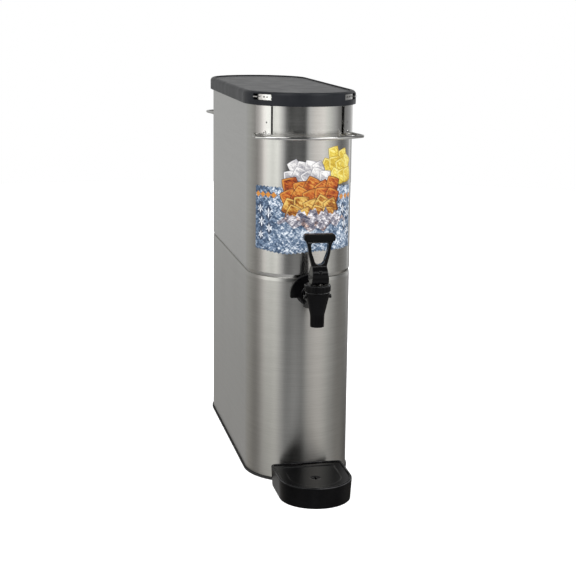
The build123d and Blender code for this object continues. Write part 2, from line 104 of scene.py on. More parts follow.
class GrainRun(Enum):
    """Which way a sheet's brushing or a wire's drawing lines run."""

    ROUND = (0.06, 0.06, 3.2)
    CROSS = (3.0, 0.05, 3.0)
    DRAWN = (0.1, 0.1, 1.2)

    @property
    def axes(self) -> dict[str, float]:
        """Return the run as the inputs of the grain's group."""
        return dict(zip(("Along X", "Along Y", "Along Z"), self.value))


class Wiring:
    """Adds shader nodes to one tree and joins them by socket."""

    def __init__(self, tree: bpy.types.NodeTree) -> None:
        """Keep the tree that the nodes go into."""
        self.tree = tree

    def feed(self, socket: bpy.types.NodeSocket, value: Feed) -> None:
        """Link a socket to another, or set its own value.

        Args:
            socket: The input to fill.
            value: An output socket to link, or a plain value.
        """
        if isinstance(value, bpy.types.NodeSocket):
            self.tree.links.new(value, socket)
        else:
            socket.default_value = value

    def add(self, kind: str, inputs: dict[str | int, Feed] | None = None,
            **settings: object) -> bpy.types.Node:
        """Add a node with its settings and inputs.

        Args:
            kind: Blender's name for the node.
            inputs: Input sockets by name or number, with what feeds them.
            settings: Properties of the node itself.

        Returns:
            The new node.
        """
        node = self.tree.nodes.new(kind)
        for name, value in settings.items():
            setattr(node, name, value)
        for name, value in (inputs or {}).items():
            self.feed(node.inputs[name], value)
        return node

    def calc(self, operation: str, first: Feed, second: Feed = 0.0,
             third: Feed = 0.0) -> bpy.types.NodeSocket:
        """Return the output of one step of arithmetic."""
        values = {0: first, 1: second, 2: third}
        return self.add("ShaderNodeMath", values, operation=operation).outputs[0]

    def remap(self, value: Feed, old: Span, new: Span = UNIT,
              smooth: bool = False) -> bpy.types.NodeSocket:
        """Map a value from one range to another.

        Args:
            value: What is mapped.
            old: The range that it comes in.
            new: The range that it goes out in.
            smooth: Whether the change eases in and out.

        Returns:
            The mapped value's socket, clamped to the new range.
        """
        kind = "SMOOTHSTEP" if smooth else "LINEAR"
        ranges = {"From Min": old[0], "From Max": old[1], "To Min": new[0], "To Max": new[1]}
        node = self.add("ShaderNodeMapRange", {"Value": value, **ranges}, interpolation_type=kind)
        return node.outputs["Result"]

    def mix(self, share: Feed, first: Feed, second: Feed, blend: str = "MIX") -> bpy.types.NodeSocket:
        """Blend two colours.

        Args:
            share: How much of the second colour shows.
            first: The first colour.
            second: The second colour.
            blend: Blender's name for the way they blend.

        Returns:
            The blend's socket.
        """
        inputs = {MIX_SHARE: share, MIX_FIRST: first, MIX_SECOND: second}
        node = self.add("ShaderNodeMix", inputs, data_type="RGBA", blend_type=blend)
        return node.outputs[MIX_RESULT]

    def ramp(self, value: Feed, stops: Sequence[tuple[float, Colour]]) -> bpy.types.NodeSocket:
        """Look a colour up along a row of stops.

        Args:
            value: Where to look, from 0 to 1.
            stops: Each stop's place and colour, in order.

        Returns:
            The colour's socket.
        """
        node = self.add("ShaderNodeValToRGB", {"Fac": value})
        elements = node.color_ramp.elements
        elements[0].position, elements[0].color = stops[0][0], opaque(stops[0][1])
        elements[1].position, elements[1].color = stops[-1][0], opaque(stops[-1][1])
        for place, colour in stops[1:-1]:
            elements.new(place).color = opaque(colour)
        return node.outputs["Color"]

    def noise(self, scale: float, vector: Feed, detail: float = 3.0,
              roughness: float = 0.55) -> bpy.types.NodeSocket:
        """Return fractal noise over a vector, its scale in waves per unit of the vector."""
        inputs = {"Vector": vector, "Scale": scale, "Detail": detail, "Roughness": roughness}
        return self.add("ShaderNodeTexNoise", inputs).outputs["Fac"]

    def object_place(self) -> bpy.types.NodeSocket:
        """Return the place on the object, in metres."""
        return self.add("ShaderNodeTexCoord").outputs["Object"]

    def printed_place(self, layer: str) -> bpy.types.NodeSocket:
        """Return the place on one of the printed film's maps."""
        return self.add("ShaderNodeUVMap", uv_map=layer).outputs["UV"]

    def along(self, vector: Feed, axis: str) -> bpy.types.NodeSocket:
        """Return a vector's share along one axis."""
        return self.add("ShaderNodeSeparateXYZ", {0: vector}).outputs[axis]

    def turn(self, vector: Feed, angle: float, about: str = "Z_AXIS") -> bpy.types.NodeSocket:
        """Turn a vector about an axis by radians."""
        inputs = {"Vector": vector, "Angle": angle}
        return self.add("ShaderNodeVectorRotate", inputs, rotation_type=about).outputs[0]

    def sized(self, vector: Feed, size: Feed) -> bpy.types.NodeSocket:
        """Scale a vector evenly."""
        inputs = {0: vector, "Scale": size}
        return self.add("ShaderNodeVectorMath", inputs, operation="SCALE").outputs[0]

    def stretch(self, vector: Feed, scale: Feed) -> bpy.types.NodeSocket:
        """Scale a vector along each axis by itself."""
        inputs = {0: vector, 1: scale}
        return self.add("ShaderNodeVectorMath", inputs, operation="MULTIPLY").outputs[0]

    def bump(self, height: Feed, depth: float, strength: float,
             normal: Feed | None = None) -> bpy.types.NodeSocket:
        """Disturb a normal by a height.

        Args:
            height: The height, from 0 to 1.
            depth: The depth that it stands for, in metres.
            strength: The share of it that shows.
            normal: The normal to disturb; the surface's own when left out.

        Returns:
            The new normal's socket.
        """
        inputs = {"Height": height, "Distance": depth, "Strength": strength}
        if normal is not None:
            inputs["Normal"] = normal
        return self.add("ShaderNodeBump", inputs).outputs["Normal"]


class EffectGroup:
    """A shared surface effect, kept as one shader node group."""

    title: str = "effect"
    sockets_in: Sequence[tuple[str, str, float | Colour]] = ()
    sockets_out: Sequence[tuple[str, str]] = ()

    def tree(self) -> bpy.types.NodeTree:
        """Return the group's tree, made on the first call."""
        known = bpy.data.node_groups.get(self.title)
        return known or self._make()

    def _make(self) -> bpy.types.NodeTree:
        """Create the tree with its sockets and fill it.

        Returns:
            The finished node group.
        """
        tree = bpy.data.node_groups.new(self.title, "ShaderNodeTree")
        for name, kind, value in self.sockets_in:
            socket = tree.interface.new_socket(name, in_out="INPUT", socket_type=kind)
            socket.default_value = value
        for name, kind in self.sockets_out:
            tree.interface.new_socket(name, in_out="OUTPUT", socket_type=kind)
        wiring = Wiring(tree)
        self.wire(wiring, wiring.add("NodeGroupInput"), wiring.add("NodeGroupOutput"))
        return tree

    def wire(self, wiring: Wiring, source: bpy.types.Node, sink: bpy.types.Node) -> None:
        """Fill the tree; each effect has its own."""
        raise NotImplementedError

    def place(self, wiring: Wiring, values: dict[str, Feed]) -> bpy.types.Node:
        """Place the group in a material.

        Args:
            wiring: The material's wiring.
            values: The group's inputs by name.

        Returns:
            The group node.
        """
        node = wiring.add("ShaderNodeGroup", node_tree=self.tree())
        for name, value in values.items():
            wiring.feed(node.inputs[name], value)
        return node


class BrushedGrain(EffectGroup):
    """Fine parallel lines left in sheet steel by a belt."""

    title = "brushed_grain"
    sockets_in = (("Along X", "NodeSocketFloat", 0.06), ("Along Y", "NodeSocketFloat", 0.06),
                  ("Along Z", "NodeSocketFloat", 3.2))
    sockets_out = (("Lines", "NodeSocketFloat"), ("Height", "NodeSocketFloat"))
    fine_waves: float = 1100.0
    medium_waves: float = 330.0
    broad_waves: float = 60.0
    shares: tuple[float, float, float] = (0.5, 0.35, 0.15)
    contrast: Span = (0.38, 0.62)

    def wire(self, wiring: Wiring, source: bpy.types.Node, sink: bpy.types.Node) -> None:
        """Lay three scales of stretched noise over each other.

        Args:
            wiring: The group's wiring.
            source: The group's input node.
            sink: The group's output node.
        """
        place = wiring.object_place()
        axes = {k: source.outputs[k] for k in range(3)}
        scale = wiring.add("ShaderNodeCombineXYZ", axes).outputs[0]
        lines = wiring.stretch(place, scale)
        fine = wiring.noise(self.fine_waves, lines, detail=2.0)
        medium = wiring.noise(self.medium_waves, lines, detail=2.0)
        broad = wiring.noise(self.broad_waves, lines, detail=1.0)
        total = 0.0
        for layer, share in zip((fine, medium, broad), self.shares):
            total = wiring.calc("MULTIPLY_ADD", layer, share, total)
        wiring.feed(sink.inputs["Lines"], wiring.remap(total, self.contrast))
        wiring.feed(sink.inputs["Height"], fine)


class HandlingMarks(EffectGroup):
    """Finger smears, wipe marks and stray hairline scratches."""

    title = "handling_marks"
    sockets_in = (("Size", "NodeSocketFloat", 1.0),)
    sockets_out = (("Smear", "NodeSocketFloat"), ("Scratch", "NodeSocketFloat"))
    smear_waves: float = 14.0
    smear_stretch: Stretch = (1.0, 1.0, 0.35)
    smear_range: Span = (0.42, 0.68)
    scratch_lean: float = 0.6
    scratch_waves: float = 260.0
    scratch_stretch: Stretch = (0.03, 0.03, 1.0)
    scratch_range: Span = (0.705, 0.73)
    patch_waves: float = 22.0
    patch_range: Span = (0.55, 0.65)

    def wire(self, wiring: Wiring, source: bpy.types.Node, sink: bpy.types.Node) -> None:
        """Make soft smears and a few thin scratches.

        Args:
            wiring: The group's wiring.
            source: The group's input node.
            sink: The group's output node.
        """
        sized = wiring.sized(wiring.object_place(), source.outputs["Size"])
        wiped = wiring.stretch(sized, self.smear_stretch)
        smear = wiring.noise(self.smear_waves, wiped, detail=4.0, roughness=0.6)
        wiring.feed(sink.inputs["Smear"], wiring.remap(smear, self.smear_range, smooth=True))
        leaning = wiring.turn(sized, self.scratch_lean, "Y_AXIS")
        drawn = wiring.stretch(leaning, self.scratch_stretch)
        thin = wiring.noise(self.scratch_waves, drawn, detail=1.0)
        line = wiring.remap(thin, self.scratch_range)
        patches = wiring.noise(self.patch_waves, sized, detail=1.0)
        rare = wiring.remap(patches, self.patch_range)
        wiring.feed(sink.inputs["Scratch"], wiring.calc("MULTIPLY", line, rare))


class MouldGrain(EffectGroup):
    """The fine matt texture that a mould leaves on plastic and rubber."""

    title = "mould_grain"
    sockets_in = (("Fineness", "NodeSocketFloat", 1.0),)
    sockets_out = (("Height", "NodeSocketFloat"), ("Mottle", "NodeSocketFloat"))
    cells_per_metre: float = 1500.0
    ripple_waves: float = 420.0
    ripple_share: float = 0.6
    mottle_waves: float = 38.0

    def wire(self, wiring: Wiring, source: bpy.types.Node, sink: bpy.types.Node) -> None:
        """Make rounded cells for the height and soft patches for the mottle.

        Args:
            wiring: The group's wiring.
            source: The group's input node.
            sink: The group's output node.
        """
        sized = wiring.sized(wiring.object_place(), source.outputs["Fineness"])
        inputs = {"Vector": sized, "Scale": self.cells_per_metre}
        cells = wiring.add("ShaderNodeTexVoronoi", inputs, feature="SMOOTH_F1").outputs["Distance"]
        ripple = wiring.noise(self.ripple_waves, sized, detail=2.0)
        height = wiring.calc("MULTIPLY_ADD", ripple, self.ripple_share, cells)
        wiring.feed(sink.inputs["Height"], height)
        mottle = wiring.noise(self.mottle_waves, sized, detail=4.0, roughness=0.6)
        wiring.feed(sink.inputs["Mottle"], mottle)


class SettledDust(EffectGroup):
    """A thin film of dust on whatever faces up."""

    title = "settled_dust"
    sockets_in = (("Amount", "NodeSocketFloat", 0.2),)
    sockets_out = (("Mask", "NodeSocketFloat"),)
    patch_waves: float = 90.0
    patch_range: Span = (0.35, 0.75)
    patch_cover: Span = (0.2, 1.0)
    level_range: Span = (0.55, 0.95)

    def wire(self, wiring: Wiring, source: bpy.types.Node, sink: bpy.types.Node) -> None:
        """Mask upward faces with broken patches.

        Args:
            wiring: The group's wiring.
            source: The group's input node.
            sink: The group's output node.
        """
        up = wiring.along(wiring.add("ShaderNodeNewGeometry").outputs["Normal"], "Z")
        place = wiring.object_place()
        broken = wiring.noise(self.patch_waves, place, detail=5.0, roughness=0.65)
        patches = wiring.remap(broken, self.patch_range, self.patch_cover)
        facing = wiring.remap(up, self.level_range, smooth=True)
        cover = wiring.calc("MULTIPLY", facing, patches)
        wiring.feed(sink.inputs["Mask"], wiring.calc("MULTIPLY", cover, source.outputs["Amount"]))


class PaintedEdgeHighlight(EffectGroup):
    """Painted highlight: a lighter line along upper edges and on fillets, where overhead light catches
    them.
    """

    title = "painted_edge_highlight"
    sockets_in = (("Rounded", "NodeSocketVector", (0.0, 0.0, 1.0)), ("Fillets", "NodeSocketFloat", 0.0))
    sockets_out = (("Mask", "NodeSocketFloat"),)
    turn_range: Span = (0.012, 0.15)
    upward_range: Span = (0.12, 0.45)
    fillet_foot: Span = (0.34, 0.50)
    fillet_top: Span = (0.90, 0.74)
    patch_waves: float = 38.0
    patch_range: Span = (0.42, 0.60)
    patch_cover: Span = (0.25, 1.0)

    def wire(self, wiring: Wiring, source: bpy.types.Node, sink: bpy.types.Node) -> None:
        """Mask the painted highlight where a rounded normal leaves the surface's own and faces up, and
        where a fillet slopes.

        Args:
            wiring: The group's wiring.
            source: The group's input node.
            sink: The group's output node.
        """
        rounded = source.outputs["Rounded"]
        normal = wiring.add("ShaderNodeNewGeometry").outputs["Normal"]
        match = wiring.add("ShaderNodeVectorMath", {0: rounded, 1: normal},
                           operation="DOT_PRODUCT").outputs["Value"]
        turned = wiring.remap(wiring.calc("SUBTRACT", 1.0, match), self.turn_range)
        facing = wiring.remap(wiring.along(rounded, "Z"), self.upward_range, smooth=True)
        corner = wiring.calc("MULTIPLY", turned, facing)
        slope = wiring.along(normal, "Z")
        foot = wiring.remap(slope, self.fillet_foot)
        fillet = wiring.calc("MULTIPLY", foot, wiring.remap(slope, self.fillet_top))
        shown = wiring.calc("MULTIPLY", fillet, source.outputs["Fillets"])
        broken = wiring.noise(self.patch_waves, wiring.object_place(), detail=2.0)
        patches = wiring.remap(broken, self.patch_range, self.patch_cover, True)
        # Painted highlight mask: the upper edges and the sloping fillets together, broken into patches
        # below.
        worn = wiring.calc("MAXIMUM", corner, shown)
        wiring.feed(sink.inputs["Mask"], wiring.calc("MULTIPLY", worn, patches))


@dataclass(frozen=True)
class Finish:
    """What every finish holds: its name and the record's slot that it stands for."""

    name: str
    slot: str

    def material(self) -> bpy.types.Material:
        """Give the finish's material, made on the first call.

        Returns:
            The material.
        """
        known = bpy.data.materials.get(self.name)
        if known:
            return known
        made = bpy.data.materials.new(self.name)
        made.use_nodes = True
        made.node_tree.nodes.clear()
        wiring = Wiring(made.node_tree)
        shader = wiring.add("ShaderNodeBsdfPrincipled")
        self.wire(wiring, shader)
        wiring.add("ShaderNodeOutputMaterial", {"Surface": shader.outputs["BSDF"]})
        return made

    def wire(self, wiring: Wiring, shader: bpy.types.Node) -> None:
        """Feed the shader; each finish has its own."""
        raise NotImplementedError


@dataclass(frozen=True)
class BrushedSteel(Finish):
    """Stainless sheet with a belt-brushed face."""

    light: Colour = (0.66, 0.655, 0.635)
    dark: Colour = (0.58, 0.575, 0.555)
    roughness: float = 0.3
    spread: float = 0.05
    anisotropy: float = 0.7
    run: GrainRun = GrainRun.ROUND
    depth: float = 0.00002
    relief: float = 0.12
    scratch: Colour = (0.8, 0.8, 0.79)
    scratch_share: float = 0.25
    smear_dulling: float = 0.035
    grain_turn: float = 0.25

    def wire(self, wiring: Wiring, shader: bpy.types.Node) -> None:
        """Brush lines steer the tone, the gloss and a slight relief.

        Args:
            wiring: The material's wiring.
            shader: The surface shader.
        """
        grain = BrushedGrain().place(wiring, self.run.axes)
        marks = HandlingMarks().place(wiring, {"Size": 1.0})
        lines = grain.outputs["Lines"]
        tone = wiring.mix(lines, opaque(self.dark), opaque(self.light))
        scratch = wiring.calc("MULTIPLY", marks.outputs["Scratch"], self.scratch_share)
        wiring.feed(shader.inputs["Base Color"], wiring.mix(scratch, tone, opaque(self.scratch)))
        low, high = self.roughness - self.spread, self.roughness + self.spread
        gloss = wiring.remap(lines, UNIT, (low, high))
        smear = wiring.calc("MULTIPLY_ADD", marks.outputs["Smear"], self.smear_dulling, gloss)
        wiring.feed(shader.inputs["Roughness"], smear)
        relief = wiring.bump(grain.outputs["Height"], self.depth, self.relief)
        wiring.feed(shader.inputs["Normal"], relief)
        shader.inputs["Metallic"].default_value = 1.0
        shader.inputs["Anisotropic"].default_value = self.anisotropy
        shader.inputs["Anisotropic Rotation"].default_value = self.grain_turn
        tangent = wiring.add("ShaderNodeTangent", direction_type="RADIAL", axis="Z")
        wiring.feed(shader.inputs["Tangent"], tangent.outputs["Tangent"])


@dataclass(frozen=True)
class BrightSteel(Finish):
    """Drawn wire, pressed clips and pins with a bright skin."""

    colour: Colour = (0.78, 0.775, 0.76)
    shade: Colour = (0.62, 0.615, 0.60)
    roughness: float = 0.14
    spread: float = 0.12
    depth: float = 0.00001
    relief: float = 0.05
    mark_size: float = 4.0

    def wire(self, wiring: Wiring, shader: bpy.types.Node) -> None:
        """Smears dull the bright skin in places, with faint drawing lines.

        Args:
            wiring: The material's wiring.
            shader: The surface shader.
        """
        marks = HandlingMarks().place(wiring, {"Size": self.mark_size})
        grain = BrushedGrain().place(wiring, GrainRun.DRAWN.axes)
        smear = marks.outputs["Smear"]
        tone = wiring.mix(smear, opaque(self.colour), opaque(self.shade))
        wiring.feed(shader.inputs["Base Color"], tone)
        gloss = wiring.remap(smear, UNIT, (self.roughness, self.roughness + self.spread))
        wiring.feed(shader.inputs["Roughness"], gloss)
        relief = wiring.bump(grain.outputs["Height"], self.depth, self.relief)
        wiring.feed(shader.inputs["Normal"], relief)
        shader.inputs["Metallic"].default_value = 1.0


@dataclass(frozen=True)
class MouldedPlastic(Finish):
    """Moulded plastic or rubber with a fine surface, a trace of dust and a painted highlight along its
    upper edges.
    """

    colour: Colour = (0.012, 0.012, 0.013)
    worn: Colour = (0.03, 0.03, 0.031)
    roughness: float = 0.3
    spread: float = 0.08
    mottle_range: Span = (0.3, 0.7)
    fineness: float = 1.0
    depth: float = 0.00003
    relief: float = 0.25
    dust: float = 0.12
    dust_tint: Colour = (0.42, 0.41, 0.39)
    specular: float = 0.5
    rounding: float = 0.0003
    rounding_samples: int = 6
    edge: Colour = (0.075, 0.075, 0.078)
    fillet_highlight: float = 0.0
    smear_polish: float = -0.04
    dust_dulling: float = 0.4
    mark_size: float = 3.0

    def wire(self, wiring: Wiring, shader: bpy.types.Node) -> None:
        """Mottle steers tone and gloss, a painted highlight lightens the upper edges, the mould's grain
        gives relief, dust lies on top.

        Args:
            wiring: The material's wiring.
            shader: The surface shader.
        """
        grain = MouldGrain().place(wiring, {"Fineness": self.fineness})
        dust = SettledDust().place(wiring, {"Amount": self.dust})
        marks = HandlingMarks().place(wiring, {"Size": self.mark_size})
        mottle = wiring.remap(grain.outputs["Mottle"], self.mottle_range)
        tone = wiring.mix(mottle, opaque(self.colour), opaque(self.worn))
        rounded = wiring.add("ShaderNodeBevel", {"Radius": self.rounding},
                             samples=self.rounding_samples).outputs["Normal"]
        # Painted highlight: the edge colour goes along upper edges and, by the fillet share, on sloping
        # fillets.
        painted_highlight = PaintedEdgeHighlight().place(wiring, {"Rounded": rounded, "Fillets": self.fillet_highlight})
        tone = wiring.mix(painted_highlight.outputs["Mask"], tone, opaque(self.edge))
        dusty = wiring.mix(dust.outputs["Mask"], tone, opaque(self.dust_tint))
        wiring.feed(shader.inputs["Base Color"], dusty)
        low, high = self.roughness - self.spread, self.roughness + self.spread
        gloss = wiring.remap(grain.outputs["Mottle"], self.mottle_range, (low, high))
        rubbed = wiring.calc("MULTIPLY_ADD", marks.outputs["Smear"], self.smear_polish, gloss)
        dulled = wiring.calc("MULTIPLY_ADD", dust.outputs["Mask"], self.dust_dulling, rubbed)
        wiring.feed(shader.inputs["Roughness"], dulled)
        relief = wiring.bump(grain.outputs["Height"], self.depth, self.relief, rounded)
        wiring.feed(shader.inputs["Normal"], relief)
        shader.inputs["Specular IOR Level"].default_value = self.specular


@dataclass(frozen=True)
class FilmPrint(Finish):
    """What every print on the thin film shares: its gloss and the brushing under it."""

    gloss: Span = (0.30, 0.40)
    depth: float = 0.00001
    relief: float = 0.2
    specular: float = 0.3

    def wire(self, wiring: Wiring, shader: bpy.types.Node) -> None:
        """Feed the pattern, the film's gloss and the brushing that shows through it.

        Args:
            wiring: The material's wiring.
            shader: The surface shader.
        """
        wiring.feed(shader.inputs["Base Color"], self.pattern(wiring))
        grain = BrushedGrain().place(wiring, GrainRun.ROUND.axes)
        gloss = wiring.remap(grain.outputs["Lines"], UNIT, self.gloss)
        wiring.feed(shader.inputs["Roughness"], gloss)
        relief = wiring.bump(grain.outputs["Height"], self.depth, self.relief)
        wiring.feed(shader.inputs["Normal"], relief)
        shader.inputs["Specular IOR Level"].default_value = self.specular

    def pattern(self, wiring: Wiring) -> bpy.types.NodeSocket:
        """Return the printed colour, where each print has its own."""
        raise NotImplementedError


@dataclass(frozen=True)
class ChipLayer:
    """One size of printed ice chips."""

    slant: float
    fineness: float
    share: float


CHIP_LAYERS = (ChipLayer(0.65, 1.0, 0.40), ChipLayer(-0.8, 1.4, 0.34), ChipLayer(0.2, 2.8, 0.32))


@dataclass(frozen=True)
class IcyPrint(FilmPrint):
    """Printed crushed ice: slanting chips of deep, mid and pale colour with white glints."""

    deep: Colour = (0.024, 0.046, 0.090)
    mid: Colour = (0.088, 0.140, 0.222)
    pale: Colour = (0.21, 0.275, 0.37)
    white: Colour = (0.66, 0.70, 0.75)
    blush: Colour = (1.0, 1.0, 1.0)
    blush_share: float = 0.0
    chips_per_metre: float = 175.0
    cloud: float = 0.35
    lightness: float = 0.0
    left_shade: float = 0.0
    shade_arcs: Span = (-0.070, -0.040)
    cloud_waves: float = 45.0
    blush_waves: float = 80.0
    blush_range: Span = (0.52, 0.62)
    steps: tuple[float, ...] = (0.20, 0.46, 0.66, 0.84)
    chip_stretch: Stretch = (1.0, 2.3, 1.0)
    chip_reach: Span = (0.0, 0.9)
    chip_slope: Span = (-0.16, 0.22)

    def pattern(self, wiring: Wiring) -> bpy.types.NodeSocket:
        """Lay three sizes of chips over soft clouds, darken the left end as painted shade and look the
        sum up in the ice's colours.

        Args:
            wiring: The material's wiring.

        Returns:
            The printed colour.
        """
        place = wiring.printed_place("film")
        value = self.lightness - self.cloud / 2
        for layer in CHIP_LAYERS:
            value = wiring.calc("MULTIPLY_ADD", self.chips(wiring, place, layer), layer.share, value)
        clouds = wiring.noise(self.cloud_waves, place, detail=2.0)
        value = wiring.calc("MULTIPLY_ADD", clouds, self.cloud, value)
        # Painted shade: the field darkens towards its left end by the left shade.
        arc = wiring.along(place, "X")
        shade = wiring.remap(arc, self.shade_arcs, (-self.left_shade, 0.0), True)
        value = wiring.calc("ADD", value, shade)
        stops = tuple(zip(self.steps, (self.deep, self.mid, self.pale, self.white)))
        patches = wiring.noise(self.blush_waves, place, detail=2.0)
        warm = wiring.remap(patches, self.blush_range, (0.0, self.blush_share), True)
        return wiring.mix(warm, wiring.ramp(value, stops), opaque(self.blush), "MULTIPLY")

    def chips(self, wiring: Wiring, place: Feed, layer: ChipLayer) -> bpy.types.NodeSocket:
        """Return a random tone for each of many slanting chips.

        Args:
            wiring: The material's wiring.
            place: The place on the film.
            layer: How far the chips slant, and how much smaller they are than the largest.

        Returns:
            The tone's socket, from 0 to 1, lighter along the chips' edges.
        """
        drawn = wiring.stretch(wiring.turn(place, layer.slant), self.chip_stretch)
        scale = self.chips_per_metre * layer.fineness
        cell = wiring.add("ShaderNodeTexVoronoi", {"Vector": drawn, "Scale": scale},
                          feature="F1", voronoi_dimensions="2D")
        tone = wiring.add("ShaderNodeSeparateColor", {0: cell.outputs["Color"]}).outputs[0]
        slope = wiring.remap(cell.outputs["Distance"], self.chip_reach, self.chip_slope)
        return wiring.calc("ADD", tone, slope)


@dataclass(frozen=True)
class CubePrint(FilmPrint):
    """Printed ice cube: a bevelled rim, lit from the upper left, round a streaky heart."""

    deep: Colour = (0.09, 0.016, 0.005)
    mid: Colour = (0.28, 0.048, 0.008)
    light: Colour = (0.42, 0.098, 0.010)
    glint: Colour = (0.56, 0.25, 0.045)
    steps: tuple[float, ...] = (0.05, 0.38, 0.66, 0.95)
    slant: float = 0.5
    streak_stretch: Stretch = (0.5, 1.6, 1.0)
    streak_waves: float = 230.0
    streak_share: float = 2.3
    spark_waves: float = 700.0
    spark_share: float = 0.9
    top_light: float = 0.25
    darkness: float = -1.05
    patch_waves: float = 55.0
    patch_range: Span = (0.35, 0.65)
    patch_tones: Span = (-0.30, 0.30)
    lit_range: Span = (-0.45, 0.45)
    bevel_at: Span = (0.36, 0.40)
    bevel_cover: Span = (0.0, 0.75)
    outline_at: Span = (0.45, 0.475)
    outline_cover: Span = (0.0, 0.9)

    def pattern(self, wiring: Wiring) -> bpy.types.NodeSocket:
        """Shade the rim by its side of the cube and the heart by slanting streaks.

        Args:
            wiring: The material's wiring.

        Returns:
            The printed colour.
        """
        part = wiring.printed_place("part")
        across = wiring.calc("SUBTRACT", wiring.along(part, "X"), 0.5)
        upward = wiring.calc("SUBTRACT", wiring.along(part, "Y"), 0.5)
        reaches = (wiring.calc("ABSOLUTE", share) for share in (across, upward))
        outward = wiring.calc("MAXIMUM", *reaches)
        place = wiring.printed_place("film")
        slanted = wiring.stretch(wiring.turn(place, self.slant), self.streak_stretch)
        streaks = wiring.noise(self.streak_waves, slanted, detail=4.0, roughness=0.65)
        sparks = wiring.noise(self.spark_waves, place, detail=2.0)
        value = wiring.calc("MULTIPLY_ADD", streaks, self.streak_share, self.darkness)
        value = wiring.calc("MULTIPLY_ADD", sparks, self.spark_share, value)
        value = wiring.calc("MULTIPLY_ADD", upward, self.top_light, value)
        patches = wiring.noise(self.patch_waves, place, detail=1.0)
        value = wiring.calc("ADD", value, wiring.remap(patches, self.patch_range, self.patch_tones))
        stops = tuple(zip(self.steps, (self.deep, self.mid, self.light, self.glint)))
        heart = wiring.ramp(value, stops)
        lit = wiring.remap(wiring.calc("SUBTRACT", upward, across), self.lit_range)
        rim = wiring.ramp(lit, ((0.0, self.deep), (0.5, self.mid), (1.0, self.glint)))
        bevel = wiring.remap(outward, self.bevel_at, self.bevel_cover, True)
        outline = wiring.remap(outward, self.outline_at, self.outline_cover, True)
        shaded = wiring.mix(bevel, heart, rim)
        return wiring.mix(outline, shaded, opaque(self.deep))


@dataclass(frozen=True)
class SpeckledPrint(FilmPrint):
    """Printed small shapes in one ink, with the ink's slight unevenness."""

    ink: Colour = (0.75, 0.78, 0.82)
    thin: Colour = (0.55, 0.60, 0.68)
    speckle_waves: float = 520.0
    speckle_range: Span = (0.50, 0.70)

    def pattern(self, wiring: Wiring) -> bpy.types.NodeSocket:
        """Let the ink thin out in fine speckles.

        Args:
            wiring: The material's wiring.

        Returns:
            The printed colour.
        """
        patches = wiring.noise(self.speckle_waves, wiring.printed_place("film"))
        speckle = wiring.remap(patches, self.speckle_range, smooth=True)
        return wiring.mix(speckle, opaque(self.ink), opaque(self.thin))


TANK_STEEL = BrushedSteel("tank_brushed_steel", "brushed_steel", roughness=0.20, spread=0.02,
                          anisotropy=0.88, relief=0.03)
SKIRT_STEEL = BrushedSteel("skirt_brushed_steel", "brushed_steel", light=(0.62, 0.615, 0.595),
                           dark=(0.54, 0.535, 0.515), roughness=0.29, spread=0.012, anisotropy=0.60,
                           relief=0.05)
FLOOR_STEEL = BrushedSteel("floor_pan_steel", "brushed_steel", roughness=0.34, run=GrainRun.CROSS)
STRAP_STEEL = BrushedSteel("strap_steel", "brushed_steel", light=(0.76, 0.755, 0.74),
                           dark=(0.72, 0.715, 0.70), roughness=0.22, spread=0.01, relief=0.03)
WIRE_STEEL = BrightSteel("handle_wire_steel", "wire_steel", colour=(0.70, 0.695, 0.68),
                         shade=(0.64, 0.635, 0.62), roughness=0.09, spread=0.03, relief=0.02)
CLIP_STEEL = BrightSteel("clip_spring_steel", "clip_steel", colour=(0.86, 0.86, 0.85), roughness=0.2)
PIN_STEEL = BrightSteel("pin_ground_steel", "pin_steel")
WELD_STEEL = BrightSteel("weld_bead_steel", "wire_steel", colour=(0.6, 0.59, 0.56), roughness=0.3)
LID_PLASTIC = MouldedPlastic("lid_satin_plastic", "lid_plastic", colour=(0.0125, 0.0136, 0.0165),
                             worn=(0.0175, 0.0186, 0.022), roughness=0.33, spread=0.03, depth=0.00004,
                             dust=0.05, specular=0.12)
# Painted highlight: the light edge colour lines the tap's upper edges.
TAP_PLASTIC = MouldedPlastic("tap_gloss_plastic", "tap_plastic", colour=(0.0014, 0.0014, 0.0016),
                             worn=(0.0030, 0.0030, 0.0034), roughness=0.20, spread=0.03, dust=0.003,
                             specular=0.12, rounding=0.0018, edge=(0.24, 0.24, 0.242))
STEM_PLASTIC = MouldedPlastic("stem_white_plastic", "stem_plastic", colour=(0.62, 0.62, 0.60),
                              worn=(0.52, 0.52, 0.50), roughness=0.4, edge=(0.55, 0.55, 0.53))
# Painted highlight: the edge colour lines the tray's upper edges and lightens its sloping fillets, the
# rim's among them.
TRAY_PLASTIC = MouldedPlastic("tray_satin_plastic", "tray_plastic", colour=(0.0016, 0.0016, 0.0018),
                              worn=(0.0030, 0.0030, 0.0033), roughness=0.22, spread=0.03, dust=0.002,
                              specular=0.09, rounding=0.0018, edge=(0.07, 0.07, 0.072),
                              fillet_highlight=0.75)
TRIM_RUBBER = MouldedPlastic("trim_rubber", "trim_rubber", colour=(0.012, 0.012, 0.012),
                             worn=(0.022, 0.022, 0.022), roughness=0.62, specular=0.2)
WASHER_RUBBER = MouldedPlastic("washer_rubber", "washer_rubber", colour=(0.02, 0.02, 0.02),
                               worn=(0.03, 0.03, 0.03), roughness=0.68, specular=0.3)
SEAT_SILICONE = MouldedPlastic("seat_silicone", "silicone", colour=(0.66, 0.65, 0.61),
                               worn=(0.56, 0.55, 0.51), roughness=0.5, specular=0.4,
                               edge=(0.6, 0.59, 0.55))
